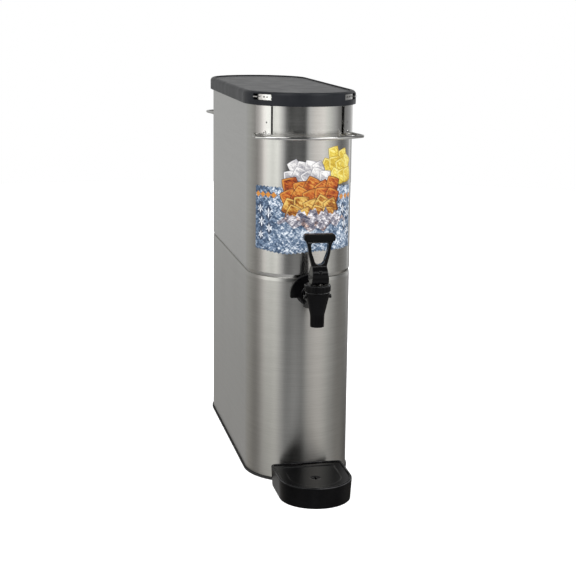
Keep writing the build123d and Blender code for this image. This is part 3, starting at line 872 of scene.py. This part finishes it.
# The icy field carries painted shade towards its left end.
ICE_PRINT = IcyPrint("icy_band_print", "brushed_steel", left_shade=0.17)
TEA_CUBE_PRINT = CubePrint("tea_cube_print", "brushed_steel")
AMBER_CUBE_PRINT = CubePrint("amber_cube_print", "brushed_steel", deep=(0.10, 0.024, 0.006),
                             mid=(0.24, 0.075, 0.010), light=(0.40, 0.17, 0.02),
                             glint=(0.62, 0.42, 0.11))
CLEAR_CUBE_PRINT = CubePrint("clear_cube_print", "brushed_steel", deep=(0.20, 0.20, 0.23),
                             mid=(0.37, 0.36, 0.38), light=(0.52, 0.51, 0.51),
                             glint=(0.73, 0.72, 0.71))
YELLOW_CUBE_PRINT = CubePrint("yellow_cube_print", "brushed_steel", deep=(0.38, 0.24, 0.016),
                              mid=(0.55, 0.39, 0.04), light=(0.63, 0.50, 0.075),
                              glint=(0.71, 0.64, 0.22))
PILE_PRINT = IcyPrint("ice_pile_print", "brushed_steel", deep=(0.05, 0.052, 0.085),
                      mid=(0.17, 0.165, 0.205), pale=(0.35, 0.335, 0.37), white=(0.72, 0.71, 0.73),
                      blush=(1.0, 0.62, 0.42), blush_share=0.7, chips_per_metre=130.0, cloud=0.25,
                      lightness=0.02)
STAR_PRINT = SpeckledPrint("frost_star_print", "brushed_steel")
STAR_BED_PRINT = SpeckledPrint("star_bed_print", "brushed_steel", ink=(0.035, 0.055, 0.10),
                               thin=(0.07, 0.10, 0.15))
DIAMOND_PRINT = SpeckledPrint("orange_diamond_print", "brushed_steel", ink=(0.55, 0.22, 0.035),
                              thin=(0.42, 0.20, 0.06))


def dress(node: str, finish: Finish) -> None:
    """Give a CAD node its finish.

    Args:
        node: The node's name.
        finish: The finish that it wears.
    """
    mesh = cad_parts[node].data
    mesh.materials.clear()
    mesh.materials.append(finish.material())
    LOG.info("dressed %s in %s", node, finish.name)


def piece(name: str, mesh: bpy.types.Mesh, finish: Finish, body: str) -> bpy.types.Object:
    """Make an object from a mesh, finish it and let it ride on a body.

    Args:
        name: The piece's name.
        mesh: Its mesh, in the row frame, in metres.
        finish: Its finish.
        body: The CAD body that it moves with.

    Returns:
        The new object.
    """
    made = bpy.data.objects.new(name, mesh)
    bpy.context.scene.collection.objects.link(made)
    mesh.materials.append(finish.material())
    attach(made, body)
    LOG.info("built %s on %s", name, body)
    return made


def smooth_mesh(name: str, points: Sequence[Sequence[float]],
                faces: Sequence[Sequence[int]]) -> bpy.types.Mesh:
    """Make a smooth-shaded mesh with outward faces.

    Args:
        name: The mesh's name.
        points: Its vertices, in metres.
        faces: Its faces as rows of vertex numbers.

    Returns:
        The mesh.
    """
    mesh = bpy.data.meshes.new(name)
    mesh.from_pydata([tuple(p) for p in points], [], [tuple(f) for f in faces])
    shape = bmesh.new()
    shape.from_mesh(mesh)
    bmesh.ops.recalc_face_normals(shape, faces=shape.faces)
    shape.to_mesh(mesh)
    shape.free()
    mesh.shade_smooth()
    return mesh


@dataclass
class RoundedEnd:
    """The front rounded end of the body, which most fittings are placed from."""

    radius: float
    centre_y: float

    @classmethod
    def from_frame(cls) -> RoundedEnd:
        """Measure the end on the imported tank.

        Returns:
            The rounded end.
        """
        low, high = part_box("tank_shell")
        radius = (high.x - low.x) / 2
        return cls(radius, low.y + radius)

    def point(self, angle: float, z: float, proud: float = 0.0) -> Vector:
        """Give a point on the wall.

        Args:
            angle: Degrees from straight ahead, to the right.
            z: Height in metres.
            proud: Distance outside the wall, in metres.

        Returns:
            The point in the row frame.
        """
        turn = math.radians(angle)
        reach = self.radius + proud
        return Vector((reach * math.sin(turn), self.centre_y - reach * math.cos(turn), z))

    def angle_of(self, arc: float) -> float:
        """Return the degrees that an arc length round the wall takes."""
        return math.degrees(arc / self.radius)


def zigzag(value: float) -> float:
    """Return a wave of straight flanks between 0 and 1."""
    return abs(value - math.floor(value + 0.5)) * 2


def jagged(arc: float, waves: Sequence[Wave]) -> float:
    """Return the sum of zigzag waves, each with its depth, number per metre and start."""
    return sum(depth * zigzag(arc * rate + start) for depth, rate, start in waves)


@dataclass(frozen=True)
class Cube:
    """One printed ice cube: a tilted square with softly rounded corners."""

    arc: float
    z: float
    size: float
    turn: float
    roundness: float = 0.16

    def spot(self, u: float, v: float) -> Spot:
        """Give a point of the cube's face.

        Args:
            u: The share across the face, from 0 to 1.
            v: The share up the face, from 0 to 1.

        Returns:
            The point as arc length and height.
        """
        x, y = 2 * u - 1, 2 * v - 1
        across = self.size / 2 * x * math.sqrt(1 - self.roundness * y * y)
        up = self.size / 2 * y * math.sqrt(1 - self.roundness * x * x)
        cos, sin = math.cos(self.turn), math.sin(self.turn)
        return self.arc + across * cos - up * sin, self.z + across * sin + up * cos


@dataclass(frozen=True)
class CubeRow:
    """A loose row of printed cubes between two arc lengths."""

    left: float
    right: float
    z: float
    size: float
    count: int
    toss: float
    nudge: float = 0.12
    nudge_step: float = 3.1
    tilt: float = 0.55
    tilt_step: float = 2.4

    def cubes(self) -> list[Cube]:
        """Lay out the row's cubes, each tilted and nudged its own way.

        Returns:
            The cubes from left to right.
        """
        made = []
        for k in range(self.count):
            share = k / max(self.count - 1, 1)
            arc = self.left + (self.right - self.left) * share
            height = self.z + self.nudge * self.size * math.cos(self.nudge_step * k + self.toss)
            turn = self.tilt * math.sin(self.tilt_step * k + self.toss)
            made.append(Cube(arc, height, self.size, turn))
        return made


@dataclass
class Drawing:
    """A flat drawing for the film: its points, their share of the motif, lifts and faces."""

    spots: list[Spot] = field(default_factory=list)
    parts: list[Spot] = field(default_factory=list)
    lifts: list[float] = field(default_factory=list)
    faces: list[tuple[int, ...]] = field(default_factory=list)

    def grid(self, place: Callable[[float, float], Spot], size: tuple[int, int],
             lift: float = 0.0) -> None:
        """Add a sheet of faces.

        Args:
            place: Gives each point from its two shares.
            size: How many faces across and how many up.
            lift: How far the sheet stands off the rest of the drawing.
        """
        columns, rows = size
        start, step = len(self.spots), rows + 1
        for i in range(columns + 1):
            for j in range(rows + 1):
                share = (i / columns, j / rows)
                self.spots.append(place(*share))
                self.parts.append(share)
                self.lifts.append(lift)
        self.faces += [(k, k + step, k + step + 1, k + 1) for i in range(columns)
                       for k in range(start + i * step, start + i * step + rows)]

    def outline(self, corners: Sequence[Spot]) -> None:
        """Add one small face.

        Args:
            corners: Its corners in order, as arc length and height.
        """
        start = len(self.spots)
        self.spots += corners
        self.parts += corners
        self.lifts += [0.0] * len(corners)
        self.faces.append(tuple(range(start, start + len(corners))))


FROST_STARS = (
    (-0.0710, 0.3815, 0.0064), (-0.0570, 0.3765, 0.0074), (-0.0685, 0.3640, 0.0070),
    (-0.0560, 0.3560, 0.0060), (-0.0700, 0.3460, 0.0056), (0.0560, 0.3800, 0.0062),
    (0.0690, 0.3730, 0.0066), (0.0600, 0.3600, 0.0064), (0.0695, 0.3500, 0.0056),
)
STAR_ARMS = 6
ARM_WAIST_AT = 0.42
DIAMOND_ROWS = ((-0.0755, -0.0490, 0.4010, 4), (0.0520, 0.0735, 0.3975, 3))
RAGGED_EDGE = ((0.0016, 170.0, 0.0), (0.0011, 397.0, 0.3))
JAGGED_TOP = ((0.009, 57.0, 0.2), (0.005, 131.0, 0.4))
UNEVEN_FOOT = ((0.008, 48.0, 0.0),)
TEA_ROWS = (CubeRow(-0.026, 0.034, 0.4125, 0.022, 5, 0.4), CubeRow(-0.027, 0.033, 0.400, 0.023, 5, 2.2))
AMBER_ROWS = (CubeRow(-0.025, 0.032, 0.388, 0.022, 5, 3.9), CubeRow(-0.021, 0.028, 0.377, 0.020, 4, 5.3))
CLEAR_ROWS = (CubeRow(-0.021, 0.012, 0.440, 0.016, 4, 1.2), CubeRow(-0.026, 0.022, 0.428, 0.018, 5, 2.9))
YELLOW_ROWS = (CubeRow(0.036, 0.054, 0.455, 0.018, 2, 0.3), CubeRow(0.026, 0.062, 0.441, 0.021, 4, 4.0),
               CubeRow(0.026, 0.066, 0.426, 0.020, 4, 1.9))
HEAPS = (("yellow", YELLOW_ROWS, YELLOW_CUBE_PRINT), ("clear", CLEAR_ROWS, CLEAR_CUBE_PRINT),
         ("tea", TEA_ROWS, TEA_CUBE_PRINT), ("amber", AMBER_ROWS, AMBER_CUBE_PRINT))


@dataclass
class PrintedBand:
    """Thin printed film round the front: crushed ice with a heap of coloured cubes."""

    end: RoundedEnd
    left: float = -0.0806
    right: float = 0.077
    low: float = 0.3250
    high: float = 0.4135
    film: float = 0.00010
    lift: float = 0.00002
    cube_lift: float = 0.00001
    skin_share: float = 0.6
    dip: float = 0.004
    dip_arc: float = -0.032
    dip_width: float = 0.026
    pile_left: float = -0.044
    pile_right: float = 0.062
    pile_foot: float = 0.350
    foot_rise: float = 0.012
    pile_top: float = 0.364
    pile_swell: float = 0.010
    pile_fullness: float = 0.6
    pile_least: float = 0.0005
    diamond_half: Spot = (0.0045, 0.0042)
    diamond_blunt: float = 1.02
    bed_scale: float = 1.55
    bed_waist: float = 0.42
    star_waist: float = 0.17
    field_faces: tuple[int, int] = (260, 20)
    pile_faces: tuple[int, int] = (260, 12)
    cube_faces: tuple[int, int] = (8, 8)
    diamond_faces: tuple[int, int] = (10, 1)

    def build(self) -> None:
        """Lay the motifs over each other, from the icy field outwards."""
        ice = Drawing()
        ice.grid(self.ice_field, self.field_faces)
        self.wrap("printed_ice_field", ice, ICE_PRINT, self.film)
        proud = self.film + self.lift
        for name, rows, finish in HEAPS:
            cubes = [cube for row in rows for cube in row.cubes()]
            heap = Drawing()
            for number, cube in enumerate(cubes):
                heap.grid(cube.spot, self.cube_faces, number * self.cube_lift)
            self.wrap(f"printed_{name}_cubes", heap, finish, proud)
            proud += len(cubes) * self.cube_lift
        pile = Drawing()
        pile.grid(self.ice_pile, self.pile_faces)
        self.wrap("printed_ice_pile", pile, PILE_PRINT, proud)
        self.diamonds()
        bed = self.film + self.lift
        self.stars("printed_star_beds", self.bed_scale, self.bed_waist, STAR_BED_PRINT, bed)
        self.stars("printed_frost_stars", 1.0, self.star_waist, STAR_PRINT, bed + self.lift)

    def ice_field(self, u: float, v: float) -> Spot:
        """Give a point of the icy field, whose edges are ragged and whose foot dips at the left.

        Args:
            u: The share of the way across it.
            v: The share of the way up it.

        Returns:
            The point along the wall and up it.
        """
        arc = self.left + (self.right - self.left) * u
        dip = self.dip * math.exp(-((arc - self.dip_arc) / self.dip_width) ** 2)
        ragged = jagged(arc, RAGGED_EDGE)
        low, high = self.low - dip + ragged, self.high - ragged
        return arc, low + (high - low) * v

    def ice_pile(self, u: float, v: float) -> Spot:
        """Give a point of the broken ice over the heap's foot, whose top is jagged.

        Args:
            u: The share of the way across it.
            v: The share of the way up it.

        Returns:
            The point along the wall and up it.
        """
        arc = self.pile_left + (self.pile_right - self.pile_left) * u
        heap = math.sin(math.pi * u) ** self.pile_fullness
        foot = self.pile_foot + jagged(arc, UNEVEN_FOOT) + self.foot_rise * abs(2 * u - 1)
        crest = self.pile_top + (self.pile_swell + jagged(arc, JAGGED_TOP)) * heap
        top = max(foot + self.pile_least, crest)
        return arc, foot + (top - foot) * v

    def diamonds(self) -> None:
        """Print a row of small diamonds on each side of the heap."""
        rows = Drawing()
        for first, last, z, count in DIAMOND_ROWS:
            for k in range(count):
                arc = first + (last - first) * k / (count - 1)
                rows.grid(partial(self.diamond, arc, z), self.diamond_faces)
        self.wrap("printed_diamonds", rows, DIAMOND_PRINT, self.film + self.lift)

    def diamond(self, arc: float, z: float, u: float, v: float) -> Spot:
        """Give a point of a diamond.

        Args:
            arc: The diamond's middle along the wall.
            z: The height of its middle.
            u: The share of the way across it.
            v: The share of the way up it.

        Returns:
            The point along the wall and up it.
        """
        half_width, half_height = self.diamond_half
        across = 2 * u - 1
        tall = half_height * (self.diamond_blunt - abs(across))
        return arc + half_width * across, z + tall * (2 * v - 1)

    def stars(self, name: str, scale: float, waist: float, finish: Finish, proud: float) -> None:
        """Print frost stars of six pointed arms on each side.

        Args:
            name: The piece's name.
            scale: How large the stars are against their listed size.
            waist: The arms' half width, as a share of their length.
            finish: The ink.
            proud: Their distance outside the wall.
        """
        sky = Drawing()
        shape = ((0.0, 0.0), (ARM_WAIST_AT, -waist), (1.0, 0.0), (ARM_WAIST_AT, waist))
        for arc, z, size in FROST_STARS:
            for arm in range(STAR_ARMS):
                turn = 2 * math.pi / STAR_ARMS * (arm + 0.5)
                cos, sin = math.cos(turn) * size * scale, math.sin(turn) * size * scale
                sky.outline([(arc + x * cos - y * sin, z + x * sin + y * cos) for x, y in shape])
        self.wrap(name, sky, finish, proud)

    def wrap(self, name: str, drawing: Drawing, finish: Finish, proud: float) -> None:
        """Wrap a flat drawing on the wall as a film with its two maps.

        Args:
            name: The piece's name.
            drawing: What is printed.
            finish: Its print.
            proud: Its distance outside the wall.
        """
        points = [self.end.point(self.end.angle_of(arc), z, proud + lift)
                  for (arc, z), lift in zip(drawing.spots, drawing.lifts)]
        mesh = smooth_mesh(name, points, drawing.faces)
        for title, values in (("film", drawing.spots), ("part", drawing.parts)):
            layer = mesh.uv_layers.new(name=title)
            for loop in mesh.loops:
                layer.data[loop.index].uv = values[loop.vertex_index]
        film = piece(name, mesh, finish, "dispenser").modifiers.new("film_thickness", "SOLIDIFY")
        film.thickness, film.offset = self.film * self.skin_share, -1.0


@dataclass(frozen=True)
class RingShift:
    """A ring of a sheet wall's points, and how far down the photograph has it."""

    node: str
    height: float
    drop: float
    tolerance: float = 0.4 * MM

    def apply(self) -> None:
        """Lower the ring by a modifier, which leaves the wall's own points alone."""
        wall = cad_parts[self.node]
        group = wall.vertex_groups.new(name=f"ring_at_{self.height / MM:.0f}")
        ring = [v.index for v in wall.data.vertices if abs(v.co.z - self.height) < self.tolerance]
        group.add(ring, 1.0, "REPLACE")
        shift = wall.modifiers.new(group.name, "DISPLACE")
        shift.direction, shift.strength, shift.mid_level = "Z", -self.drop, 0.0
        shift.vertex_group = group.name
        LOG.info("lowered %d points of %s", len(ring), self.node)


@dataclass
class TankAndBase:
    """The tank, its floor pan, the base skirt and the rubber edge trim."""

    shifts: tuple[RingShift, ...] = (
        RingShift("tank_shell", 0.29864, 0.0044),
        RingShift("tank_shell", 0.29464, 0.0070),
        RingShift("base_skirt", 0.2954, 0.0068),
        RingShift("base_skirt", 0.2894, 0.0054),
    )

    def build(self) -> None:
        """Dress the sheet metal and the trim, and bring the seam to its place."""
        dress("tank_shell", TANK_STEEL)
        dress("tank_floor", FLOOR_STEEL)
        dress("base_skirt", SKIRT_STEEL)
        dress("base_trim", TRIM_RUBBER)
        for shift in self.shifts:
            shift.apply()


@dataclass
class LidWithClips:
    """The moulded lid and the spring clips in its windows."""

    def build(self) -> None:
        """Dress the lid and its four clips."""
        dress("lid", LID_PLASTIC)
        for corner in Corner:
            dress(f"clip_{corner.label}", CLIP_STEEL)


@dataclass
class CarryingHandles:
    """The wire handles, their straps and the weld beads that hold the wire."""

    bead_radius: float = 0.0023
    bead_height: float = 0.0012
    bead_length: float = 1.15
    bead_rings: int = 10
    bead_sides: int = 24
    bead_seat: float = 0.011
    ripples: int = 5
    ripple_depth: float = 0.05
    roughness: float = 0.06
    outward: Spot = (0.92, 0.39)
    end_depth: float = 0.0006

    def build(self) -> None:
        """Dress wire and straps, and put a weld bead on each wire end."""
        for end in ("front", "rear"):
            dress(f"{end}_handle", WIRE_STEEL)
        for corner in Corner:
            dress(f"strap_{corner.label}", STRAP_STEEL)
            self.bead(corner)

    def wire_end(self, corner: Corner) -> Vector:
        """Find the middle of a wire's end face from its mesh.

        Args:
            corner: Which of the four ends.

        Returns:
            The end face's middle in the row frame.
        """
        side, end = corner.value
        node = "front_handle" if end < 0 else "rear_handle"
        spots = [v.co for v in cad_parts[node].data.vertices if v.co.x * side > 0]
        inner = min(abs(s.y - MIDDLE_Y) for s in spots)
        rim = [s for s in spots if abs(s.y - MIDDLE_Y) < inner + self.end_depth]
        return sum(rim, Vector()) / len(rim)

    def bead(self, corner: Corner) -> None:
        """Build a rippled weld bead where a wire end meets the wall.

        Args:
            corner: Which of the four ends.
        """
        side, end = corner.value
        rings, sides = self.bead_rings, self.bead_sides
        points, faces = [], []
        outward = Vector((side * self.outward[0], end * self.outward[1], 0.0)).normalized()
        along = Vector((-outward.y, outward.x, 0.0))
        seat = self.wire_end(corner) - outward * (RoundedEnd.from_frame().radius * self.bead_seat)
        for ring in range(rings + 1):
            swing = math.pi / 2 * ring / rings
            for step in range(sides):
                turn = 2 * math.pi * step / sides
                rough = self.roughness * noise.noise(Vector((turn, swing, side)) * 2)
                ripple = self.ripple_depth * math.sin(self.ripples * turn)
                reach = self.bead_radius * math.cos(swing) * (1 + ripple + rough)
                lift = self.bead_height * math.sin(swing)
                spot = seat + along * (reach * self.bead_length * math.cos(turn)) + outward * lift
                points.append(spot + Vector((0, 0, reach * math.sin(turn))))
        for ring in range(rings):
            for step in range(sides):
                a, b = ring * sides + step, ring * sides + (step + 1) % sides
                faces.append((a, b, b + sides, a + sides))
        mesh = smooth_mesh(f"weld_{corner.label}", points, faces)
        piece(f"weld_{corner.label}", mesh, WELD_STEEL, "dispenser")


@dataclass
class LeverTap:
    """The tap: body, bonnet, lever, stem, seat cup, washers, nut and the shank's thread."""

    pitch: float = 0.0025
    thread_depth: float = 0.0006
    shank_radius: float = 0.0095
    nut_gap: float = 0.0004
    end_gap: float = 0.0012
    sides: int = 40
    run_out: int = 12
    profile: tuple[Spot, ...] = ((-0.42, -0.0002), (-0.12, 1.0), (0.12, 1.0), (0.42, -0.0002))

    def build(self) -> None:
        """Dress the tap's parts and wind its thread."""
        for node in ("tap_body", "bonnet", "tap_lever", "shank_nut"):
            dress(node, TAP_PLASTIC)
        dress("tap_gasket", WASHER_RUBBER)
        dress("tank_washer", WASHER_RUBBER)
        dress("tap_stem", STEM_PLASTIC)
        dress("seat_cup", SEAT_SILICONE)
        dress("lever_pin", PIN_STEEL)
        self.thread()

    def thread(self) -> None:
        """Wind the shank's thread between the nut and the shank's end."""
        nut_low, nut_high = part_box("shank_nut")
        _, tap_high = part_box("tap_body")
        middle_z = (nut_low.z + nut_high.z) / 2
        start, finish = nut_high.y + self.nut_gap, tap_high.y - self.end_gap
        turns = (finish - start - self.pitch) / self.pitch
        steps, width = int(turns * self.sides), len(self.profile)
        points, faces = [], []
        for step in range(steps + 1):
            turn = 2 * math.pi * step / self.sides
            run = start + self.pitch * (0.5 + step / self.sides)
            taper = min(1.0, step / self.run_out, (steps - step) / self.run_out)
            for across, rise in self.profile:
                reach = self.shank_radius + self.thread_depth * rise * taper
                x, z = reach * math.cos(turn), middle_z + reach * math.sin(turn)
                points.append((x, run + across * self.pitch, z))
        for step in range(steps):
            for k in range(width - 1):
                a = step * width + k
                faces.append((a, a + 1, a + width + 1, a + width))
        mesh = smooth_mesh("shank_thread", points, faces)
        piece("shank_thread", mesh, TAP_PLASTIC, "dispenser")


@dataclass
class DripTray:
    """The drip tray and its lift-out insert."""

    def build(self) -> None:
        """Dress both mouldings."""
        dress("drip_tray", TRAY_PLASTIC)
        dress("tray_insert", TRAY_PLASTIC)


@dataclass(frozen=True)
class Band:
    """One upright stretch of the studio as the steel sees it."""

    azimuth: float
    radiance: float
    tint: Colour = (1.0, 1.0, 1.0)

    def stop(self) -> tuple[float, Colour]:
        """Return the stretch as a stop, with straight ahead in the middle."""
        r, g, b = (self.radiance * t for t in self.tint)
        return (self.azimuth + 180) / 360, (r, g, b)


WARM = (0.99, 1.0, 0.96)
ROSY = (1.0, 0.965, 0.935)
SANDY = (1.0, 0.955, 0.88)
COOL = (0.96, 0.985, 1.0)
STUDIO_WALLS = (
    Band(-180, 0.42), Band(-142, 0.48, WARM), Band(-112, 0.38, ROSY), Band(-99, 0.72, ROSY),
    Band(-89, 1.42, ROSY), Band(-79, 1.50, WARM), Band(-69, 1.28, WARM), Band(-58, 1.50, WARM),
    Band(-48, 0.86), Band(-38, 0.14, COOL), Band(-30, 0.015, COOL), Band(-5, 0.015, COOL),
    Band(2, 0.06, COOL), Band(11, 0.76), Band(23, 1.0, ROSY), Band(43, 1.26, ROSY),
    Band(54, 1.05, WARM), Band(74, 0.55), Band(84, 0.27), Band(94, 0.18), Band(104, 0.24),
    Band(125, 0.46), Band(135, 0.90), Band(145, 0.42), Band(158, 0.34), Band(168, 0.64),
    Band(180, 0.42),
)
STUDIO_TABLE = (
    Band(-180, 0.35), Band(-142, 0.30, SANDY), Band(-114, 0.14, SANDY), Band(-99, 0.11, SANDY),
    Band(-80, 0.18, SANDY), Band(-58, 0.34, SANDY), Band(-38, 0.28), Band(-28, 0.36),
    Band(-18, 0.52), Band(-8, 0.50), Band(3, 0.24), Band(13, 0.30, SANDY),
    Band(43, 0.28, SANDY), Band(64, 0.19, SANDY), Band(84, 0.22, SANDY), Band(104, 0.25, SANDY),
    Band(126, 0.10, SANDY), Band(140, 0.06, SANDY), Band(180, 0.35),
)


@dataclass
class Studio:
    """Plain pale floor, soft light and the photograph's camera."""

    floor_radius: float = 3.0
    floor_sides: int = 96
    floor_patches: float = 3.0
    floor_tones: Span = (0.93, 0.95)
    floor_roughness: float = 0.9
    floor_glow: float = 0.45
    backdrop: float = 1.0
    fill: float = 1.15
    overhead: float = 0.10
    underfoot: float = 0.48
    table_degs: Span = (-6.5, -16.5)
    beneath_degs: Span = (-26.0, -42.0)
    above_degs: Span = (24.0, 46.0)
    softbox_turns: tuple[float, float] = (-48.0, 42.0)
    softbox_watts: float = 7.0
    softbox_size: tuple[float, float] = (0.75, 0.65)
    softbox_radius: float = 1.05
    softbox_height: float = 1.85
    softbox_aim: float = 0.25

    def build(self) -> None:
        """Set the tone curve and build floor, walls, lamps and camera."""
        bpy.context.scene.view_settings.view_transform = "Standard"
        self.floor()
        self.walls()
        self.lamps()
        PhotoCamera().build()

    def floor(self) -> None:
        """Lay a round pale floor."""
        turns = [2 * math.pi * k / self.floor_sides for k in range(self.floor_sides)]
        points = [(self.floor_radius * math.cos(t), self.floor_radius * math.sin(t), 0.0) for t in turns]
        mesh = bpy.data.meshes.new("studio_floor")
        mesh.from_pydata(points, [], [tuple(range(self.floor_sides))])
        floor = bpy.data.objects.new("studio_floor", mesh)
        bpy.context.scene.collection.objects.link(floor)
        material = bpy.data.materials.new("studio_floor_paint")
        material.use_nodes = True
        shader = material.node_tree.nodes["Principled BSDF"]
        wiring = Wiring(material.node_tree)
        patches = wiring.noise(self.floor_patches, wiring.object_place())
        tone = wiring.remap(patches, UNIT, self.floor_tones)
        wiring.feed(shader.inputs["Base Color"], tone)
        shader.inputs["Roughness"].default_value = self.floor_roughness
        shader.inputs["Emission Color"].default_value = grey(1.0)
        shader.inputs["Emission Strength"].default_value = self.floor_glow
        mesh.materials.append(material)
        floor.visible_glossy = False
        floor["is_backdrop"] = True

    def walls(self) -> None:
        """Light the scene: white to the eye, soft fill for matt things, bands for gloss."""
        world = bpy.data.worlds.new("studio")
        bpy.context.scene.world = world
        world.use_nodes = True
        world.cycles.sampling_method = "NONE"
        world.node_tree.nodes.clear()
        wiring = Wiring(world.node_tree)
        direction = wiring.add("ShaderNodeTexCoord").outputs["Generated"]
        axes = wiring.add("ShaderNodeSeparateXYZ", {0: direction})
        ahead = wiring.calc("MULTIPLY", axes.outputs["Y"], -1.0)
        azimuth = wiring.calc("ARCTAN2", axes.outputs["X"], ahead)
        place = wiring.calc("MULTIPLY_ADD", azimuth, 0.5 / math.pi, 0.5)
        bands = wiring.ramp(place, [band.stop() for band in STUDIO_WALLS])
        table = wiring.ramp(place, [band.stop() for band in STUDIO_TABLE])
        elevation = wiring.calc("DEGREES", wiring.calc("ARCSINE", axes.outputs["Z"]))
        near = wiring.remap(elevation, self.table_degs, smooth=True)
        beneath = wiring.remap(elevation, self.beneath_degs, smooth=True)
        ground = wiring.mix(beneath, table, grey(self.underfoot))
        low = wiring.mix(near, bands, ground)
        above = wiring.remap(elevation, self.above_degs, smooth=True)
        gloss = wiring.mix(above, low, grey(self.overhead))
        rays = wiring.add("ShaderNodeLightPath")
        soft = wiring.mix(rays.outputs["Is Glossy Ray"], grey(self.fill), gloss)
        colour = wiring.mix(rays.outputs["Is Camera Ray"], soft, grey(self.backdrop))
        light = wiring.add("ShaderNodeBackground", {"Color": colour})
        wiring.add("ShaderNodeOutputWorld", {"Surface": light.outputs[0]})

    def lamps(self) -> None:
        """Hang two softboxes high in front, which draw soft highlights on rounded edges."""
        for name, turn in zip(("left", "right"), self.softbox_turns):
            data = bpy.data.lights.new(f"softbox_{name}", "AREA")
            data.shape, data.energy = "RECTANGLE", self.softbox_watts
            data.size, data.size_y = self.softbox_size
            lamp = bpy.data.objects.new(f"softbox_{name}", data)
            around, reach = math.radians(turn), self.softbox_radius
            lamp.location = (reach * math.sin(around), -reach * math.cos(around), self.softbox_height)
            aim = Vector((0, 0, self.softbox_aim)) - lamp.location
            lamp.rotation_euler = aim.to_track_quat("-Z", "Y").to_euler()
            bpy.context.scene.collection.objects.link(lamp)


@dataclass(frozen=True)
class PhotoCamera:
    """The photograph's camera, solved from the outlines of the body and the lid."""

    place: tuple[float, float, float] = (-0.39208, -1.89141, 0.65332)
    focal_px: float = 1331.18
    centre_px: tuple[float, float] = (300.05, 285.30)
    frame_px: float = 576.0
    heading_deg: float = 12.514
    tilt_deg: float = 11.994
    roll_deg: float = 0.7536
    sensor_mm: float = 36.0
    far_clip: float = 50.0

    def build(self) -> None:
        """Create the camera and make it the scene's own."""
        data = bpy.data.cameras.new("photo_camera")
        data.sensor_width = self.sensor_mm
        data.lens = self.focal_px / self.frame_px * self.sensor_mm
        data.shift_x = (self.frame_px / 2 - self.centre_px[0]) / self.frame_px
        data.shift_y = (self.centre_px[1] - self.frame_px / 2) / self.frame_px
        data.clip_end = self.far_clip
        camera = bpy.data.objects.new("photo_camera", data)
        camera.matrix_world = Matrix.Translation(self.place) @ self.axes().to_4x4()
        bpy.context.scene.collection.objects.link(camera)
        bpy.context.scene.camera = camera

    def axes(self) -> Matrix:
        """Work out the camera's axes from its heading, tilt and roll.

        Returns:
            A rotation whose columns are right, up and backwards.
        """
        degrees = (self.heading_deg, self.tilt_deg, self.roll_deg)
        heading, tilt, roll = (math.radians(angle) for angle in degrees)
        ahead = Vector((math.sin(heading), math.cos(heading), 0.0))
        forward = ahead * math.cos(tilt) + Vector((0.0, 0.0, -math.sin(tilt)))
        level = Vector((math.cos(heading), -math.sin(heading), 0.0))
        upright = level.cross(forward)
        right = math.cos(roll) * level + math.sin(roll) * upright
        up = -math.sin(roll) * level + math.cos(roll) * upright
        return Matrix((right, up, -forward)).transposed()


def corners(box: tuple[Vector, Vector]) -> list[list[float]]:
    """Return a box's two corners as plain lists."""
    return [list(corner) for corner in box]


def main() -> None:
    """Build the assemblies in order and work out the model's size."""
    logging.basicConfig(level=logging.INFO, format="%(name)s: %(message)s")
    end = RoundedEnd.from_frame()
    assemblies: tuple[tuple[str, Callable[[], None]], ...] = (
        ("tank and base", TankAndBase().build),
        ("printed band", PrintedBand(end).build),
        ("lid", LidWithClips().build),
        ("handles", CarryingHandles().build),
        ("tap", LeverTap().build),
        ("drip tray", DripTray().build),
        ("studio", Studio().build),
    )
    for name, build in assemblies:
        build()
        LOG.info("finished the %s", name)
    {"cad_box": corners(CAD_BOX), "visual_box": corners(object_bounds())}


if __name__ == "__main__":
    main()
